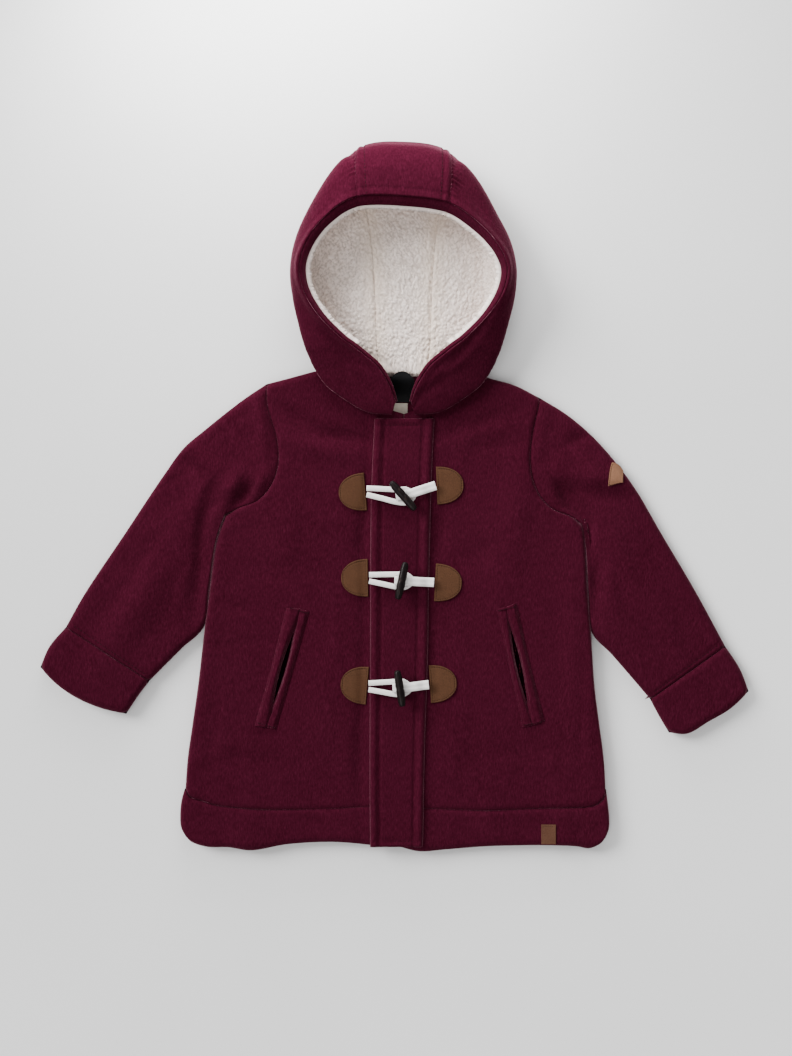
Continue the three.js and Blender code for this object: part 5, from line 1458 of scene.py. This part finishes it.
def flat_label(name, label, arch, material, node, rise=0.0):
    u, v = np.meshgrid(stops(label["width"], 1.6), stops(label["top"] - label["bottom"], 1.6))
    top = label["top"] - arch * np.abs(2 * u - 1) ** 2.2
    x = label["x"] + (u - 0.5) * label["width"]
    y = label["bottom"] + v * (top - label["bottom"])
    base = BODY_CLOTH + REST_GAP + rise * smooth(y, label["bottom"] + 8, label["top"] - 6)
    ripple = 0.16 * np.sin(x * 0.3 + y * 0.12)
    distance = np.minimum(np.minimum(u, 1 - u) * label["width"], np.minimum(v, 1 - v) * (top - label["bottom"]))
    hem = 0.2 * np.exp(-((distance - 1.6) / 0.4) ** 2)
    over = np.stack([x, y, base + LABEL_CLOTH - edge_drop(distance, 0.5, 0.35) + ripple * 0.4 - hem], -1)
    under = np.stack([x, y, base + np.zeros_like(x)], -1)
    cloth(
        wall(name, over, under, material), node,
    )


def build_hem_label():
    width, height = HEM_LABEL["right"] - HEM_LABEL["left"], HEM_LABEL["top"] - HEM_LABEL["bottom"]

    def place(u, v):
        return np.stack([HEM_LABEL["left"] + u * width, HEM_LABEL["bottom"] + v * height], -1)

    def thickness(u, v):
        d = np.minimum(np.minimum(u, 1 - u) * width, (1 - v) * height)
        return LABEL_CLOTH * 1.1 - edge_drop(d, 0.5, 0.45) - 0.2 * np.exp(-((d - 1.5) / 0.45) ** 2)
    u, v = np.meshgrid(stops(width, 0.7), stops(height, 0.8))
    over, under = on_chest(place, thickness, u, v)
    cloth(
        wall("hem_label_leather", over, under, HEM_LEATHER), "hem_label",
    )
    line_u = np.linspace(0.1, 0.9, 20)
    line = on_chest(place, thickness, line_u, np.full_like(line_u, 1 - 1.6 / height))[0]
    stitches("hem_label_stitch", line, 0.02, 2.2, 1.6, 0.5, BROWN_THREAD)


def build_sleeve_patch():
    flat = sleeve_plan("right")
    across, rise = np.meshgrid(stops(16, 0.6), stops(24, 0.7))
    low_left, low_right, high_left, high_right = np.array(SLEEVE_PATCH)
    a, b = across[..., None], rise[..., None]
    mixed = (low_left * (1 - a) + low_right * a) * (1 - b) + (high_left * (1 - a) + high_right * a) * b
    inset = mixed[..., 0] - SLEEVE_PATCH_BOW * 4 * across * (1 - across) * rise ** 2
    v = mixed[..., 1]
    width = np.linalg.norm(flat(np.zeros_like(v), v) - flat(np.ones_like(v), v), axis=-1)
    grid = laid(flat, SLEEVE_HEIGHT, 1, SLEEVE_TURNS, inset / width, v)
    out = normals(grid, up)
    edge = np.minimum(np.minimum(across, 1 - across) * 15, np.minimum(rise, 1 - rise) * 22)
    under = grid + out * (2 * REST_GAP)
    top = LABEL_CLOTH * 1.15 - edge_drop(edge, 0.5, 0.4) - 0.3 * np.exp(-((edge - 1.7) / 0.5) ** 2)
    over = under + out * top[..., None]
    cloth(
        wall("sleeve_patch_leather", over, under, TAN_LEATHER), "sleeve_patch",
    )
    count = 40
    t = np.linspace(0.12, 0.88, count)
    for number, (aa, bb) in enumerate([(t, 0.09), (0.12, t), (0.88, t)]):
        i = (np.broadcast_to(bb, count) * (over.shape[0] - 1)).round().astype(int)
        j = (np.broadcast_to(aa, count) * (over.shape[1] - 1)).round().astype(int)
        stitches(f"sleeve_patch_stitch_{number}", over[i, j], 0.03, 2.2, 1.7, 0.5, BROWN_THREAD)


# ---- Light, floor and camera

def sun_light(name, towards, power, spread):
    light = bpy.data.lights.new(name, "SUN")
    light.energy = power
    light.angle = math.radians(spread)
    thing = bpy.data.objects.new(name, light)
    thing.rotation_euler = Vector(towards).to_track_quat("Z", "Y").to_euler()
    bpy.context.scene.collection.objects.link(thing)


def soft_box(name, place, aim, width, height, power):
    light = bpy.data.lights.new(name, "AREA")
    light.shape, light.size, light.size_y, light.energy = "RECTANGLE", width, height, power
    thing = bpy.data.objects.new(name, light)
    thing.location = place
    thing.rotation_euler = (Vector(place) - Vector(aim)).to_track_quat("Z", "Y").to_euler()
    bpy.context.scene.collection.objects.link(thing)


def build_scene():
    size = 6.0
    mesh = bpy.data.meshes.new("floor")
    mesh.from_pydata(
        [(-size, -size, 0), (size, -size, 0), (size, size, 0), (-size, size, 0)], [], [(0, 1, 2, 3)]
    )
    floor = bpy.data.objects.new("floor", mesh)
    floor.location.z = -0.0006
    bpy.context.scene.collection.objects.link(floor)
    paint = Paint("floor")
    tone = paint.ramp(paint.noise(3.0, 2.0), [(0.3, (0.86, 0.86, 0.86)), (0.7, (0.9, 0.9, 0.9))])
    floor.data.materials.append(paint.finish(tone, None, 0.9, 0, 0.5, (1, 1, 1), 0.1))

    world = bpy.data.worlds.new("studio")
    world.use_nodes = True
    world.node_tree.nodes["Background"].inputs["Color"].default_value = (1, 1, 1, 1)
    world.node_tree.nodes["Background"].inputs["Strength"].default_value = 0.42
    bpy.context.scene.world = world
    sun_light("key", (-1.0, 0.6, 0.72), 4.2, 30)
    sun_light("top", (0.12, 1.0, 0.3), 1.6, 60)
    sun_light("front", (-0.3, -0.6, 1.0), 1.2, 50)
    soft_box("hood_light", (-0.1, 0.64, 0.2), (0.01, 0.27, 0.03), 0.5, 0.16, 5.6)

    camera = bpy.data.cameras.new("camera")
    camera.sensor_width = 36.0
    camera.lens = 36 * 2400 / 1108.8
    camera.clip_end = 50
    thing = bpy.data.objects.new("camera", camera)
    thing.location = ((2.6 + SHIFT[0]) / 1000, (-33.6 + SHIFT[1]) / 1000, 2.4)
    bpy.context.scene.collection.objects.link(thing)
    bpy.context.scene.camera = thing


build_scene()
build_back()
for side_ in SIDES:
    build_front(side_)
build_hems()
build_sleeves()
build_cuffs()
build_placket()
build_welts()
for closure in CLOSURES:
    build_closure(*closure)
sides, strip, out_ = hood_surfaces()
build_hood(sides, strip, out_)
tuck_, root_, edge_, into_, lip_ = rim_stations(sides, strip, out_)
build_band(tuck_, root_, edge_, into_, lip_)
build_linings(sides, strip, out_, edge_, into_)
flat_label("neck_label_tape", NECK_LABEL, 9.0, BLACK_TAPE, "neck_label", 8.0)
flat_label("size_tag_cloth", SIZE_TAG, 0.0, TAG_CLOTH, "size_tag")
build_hem_label()
build_sleeve_patch()
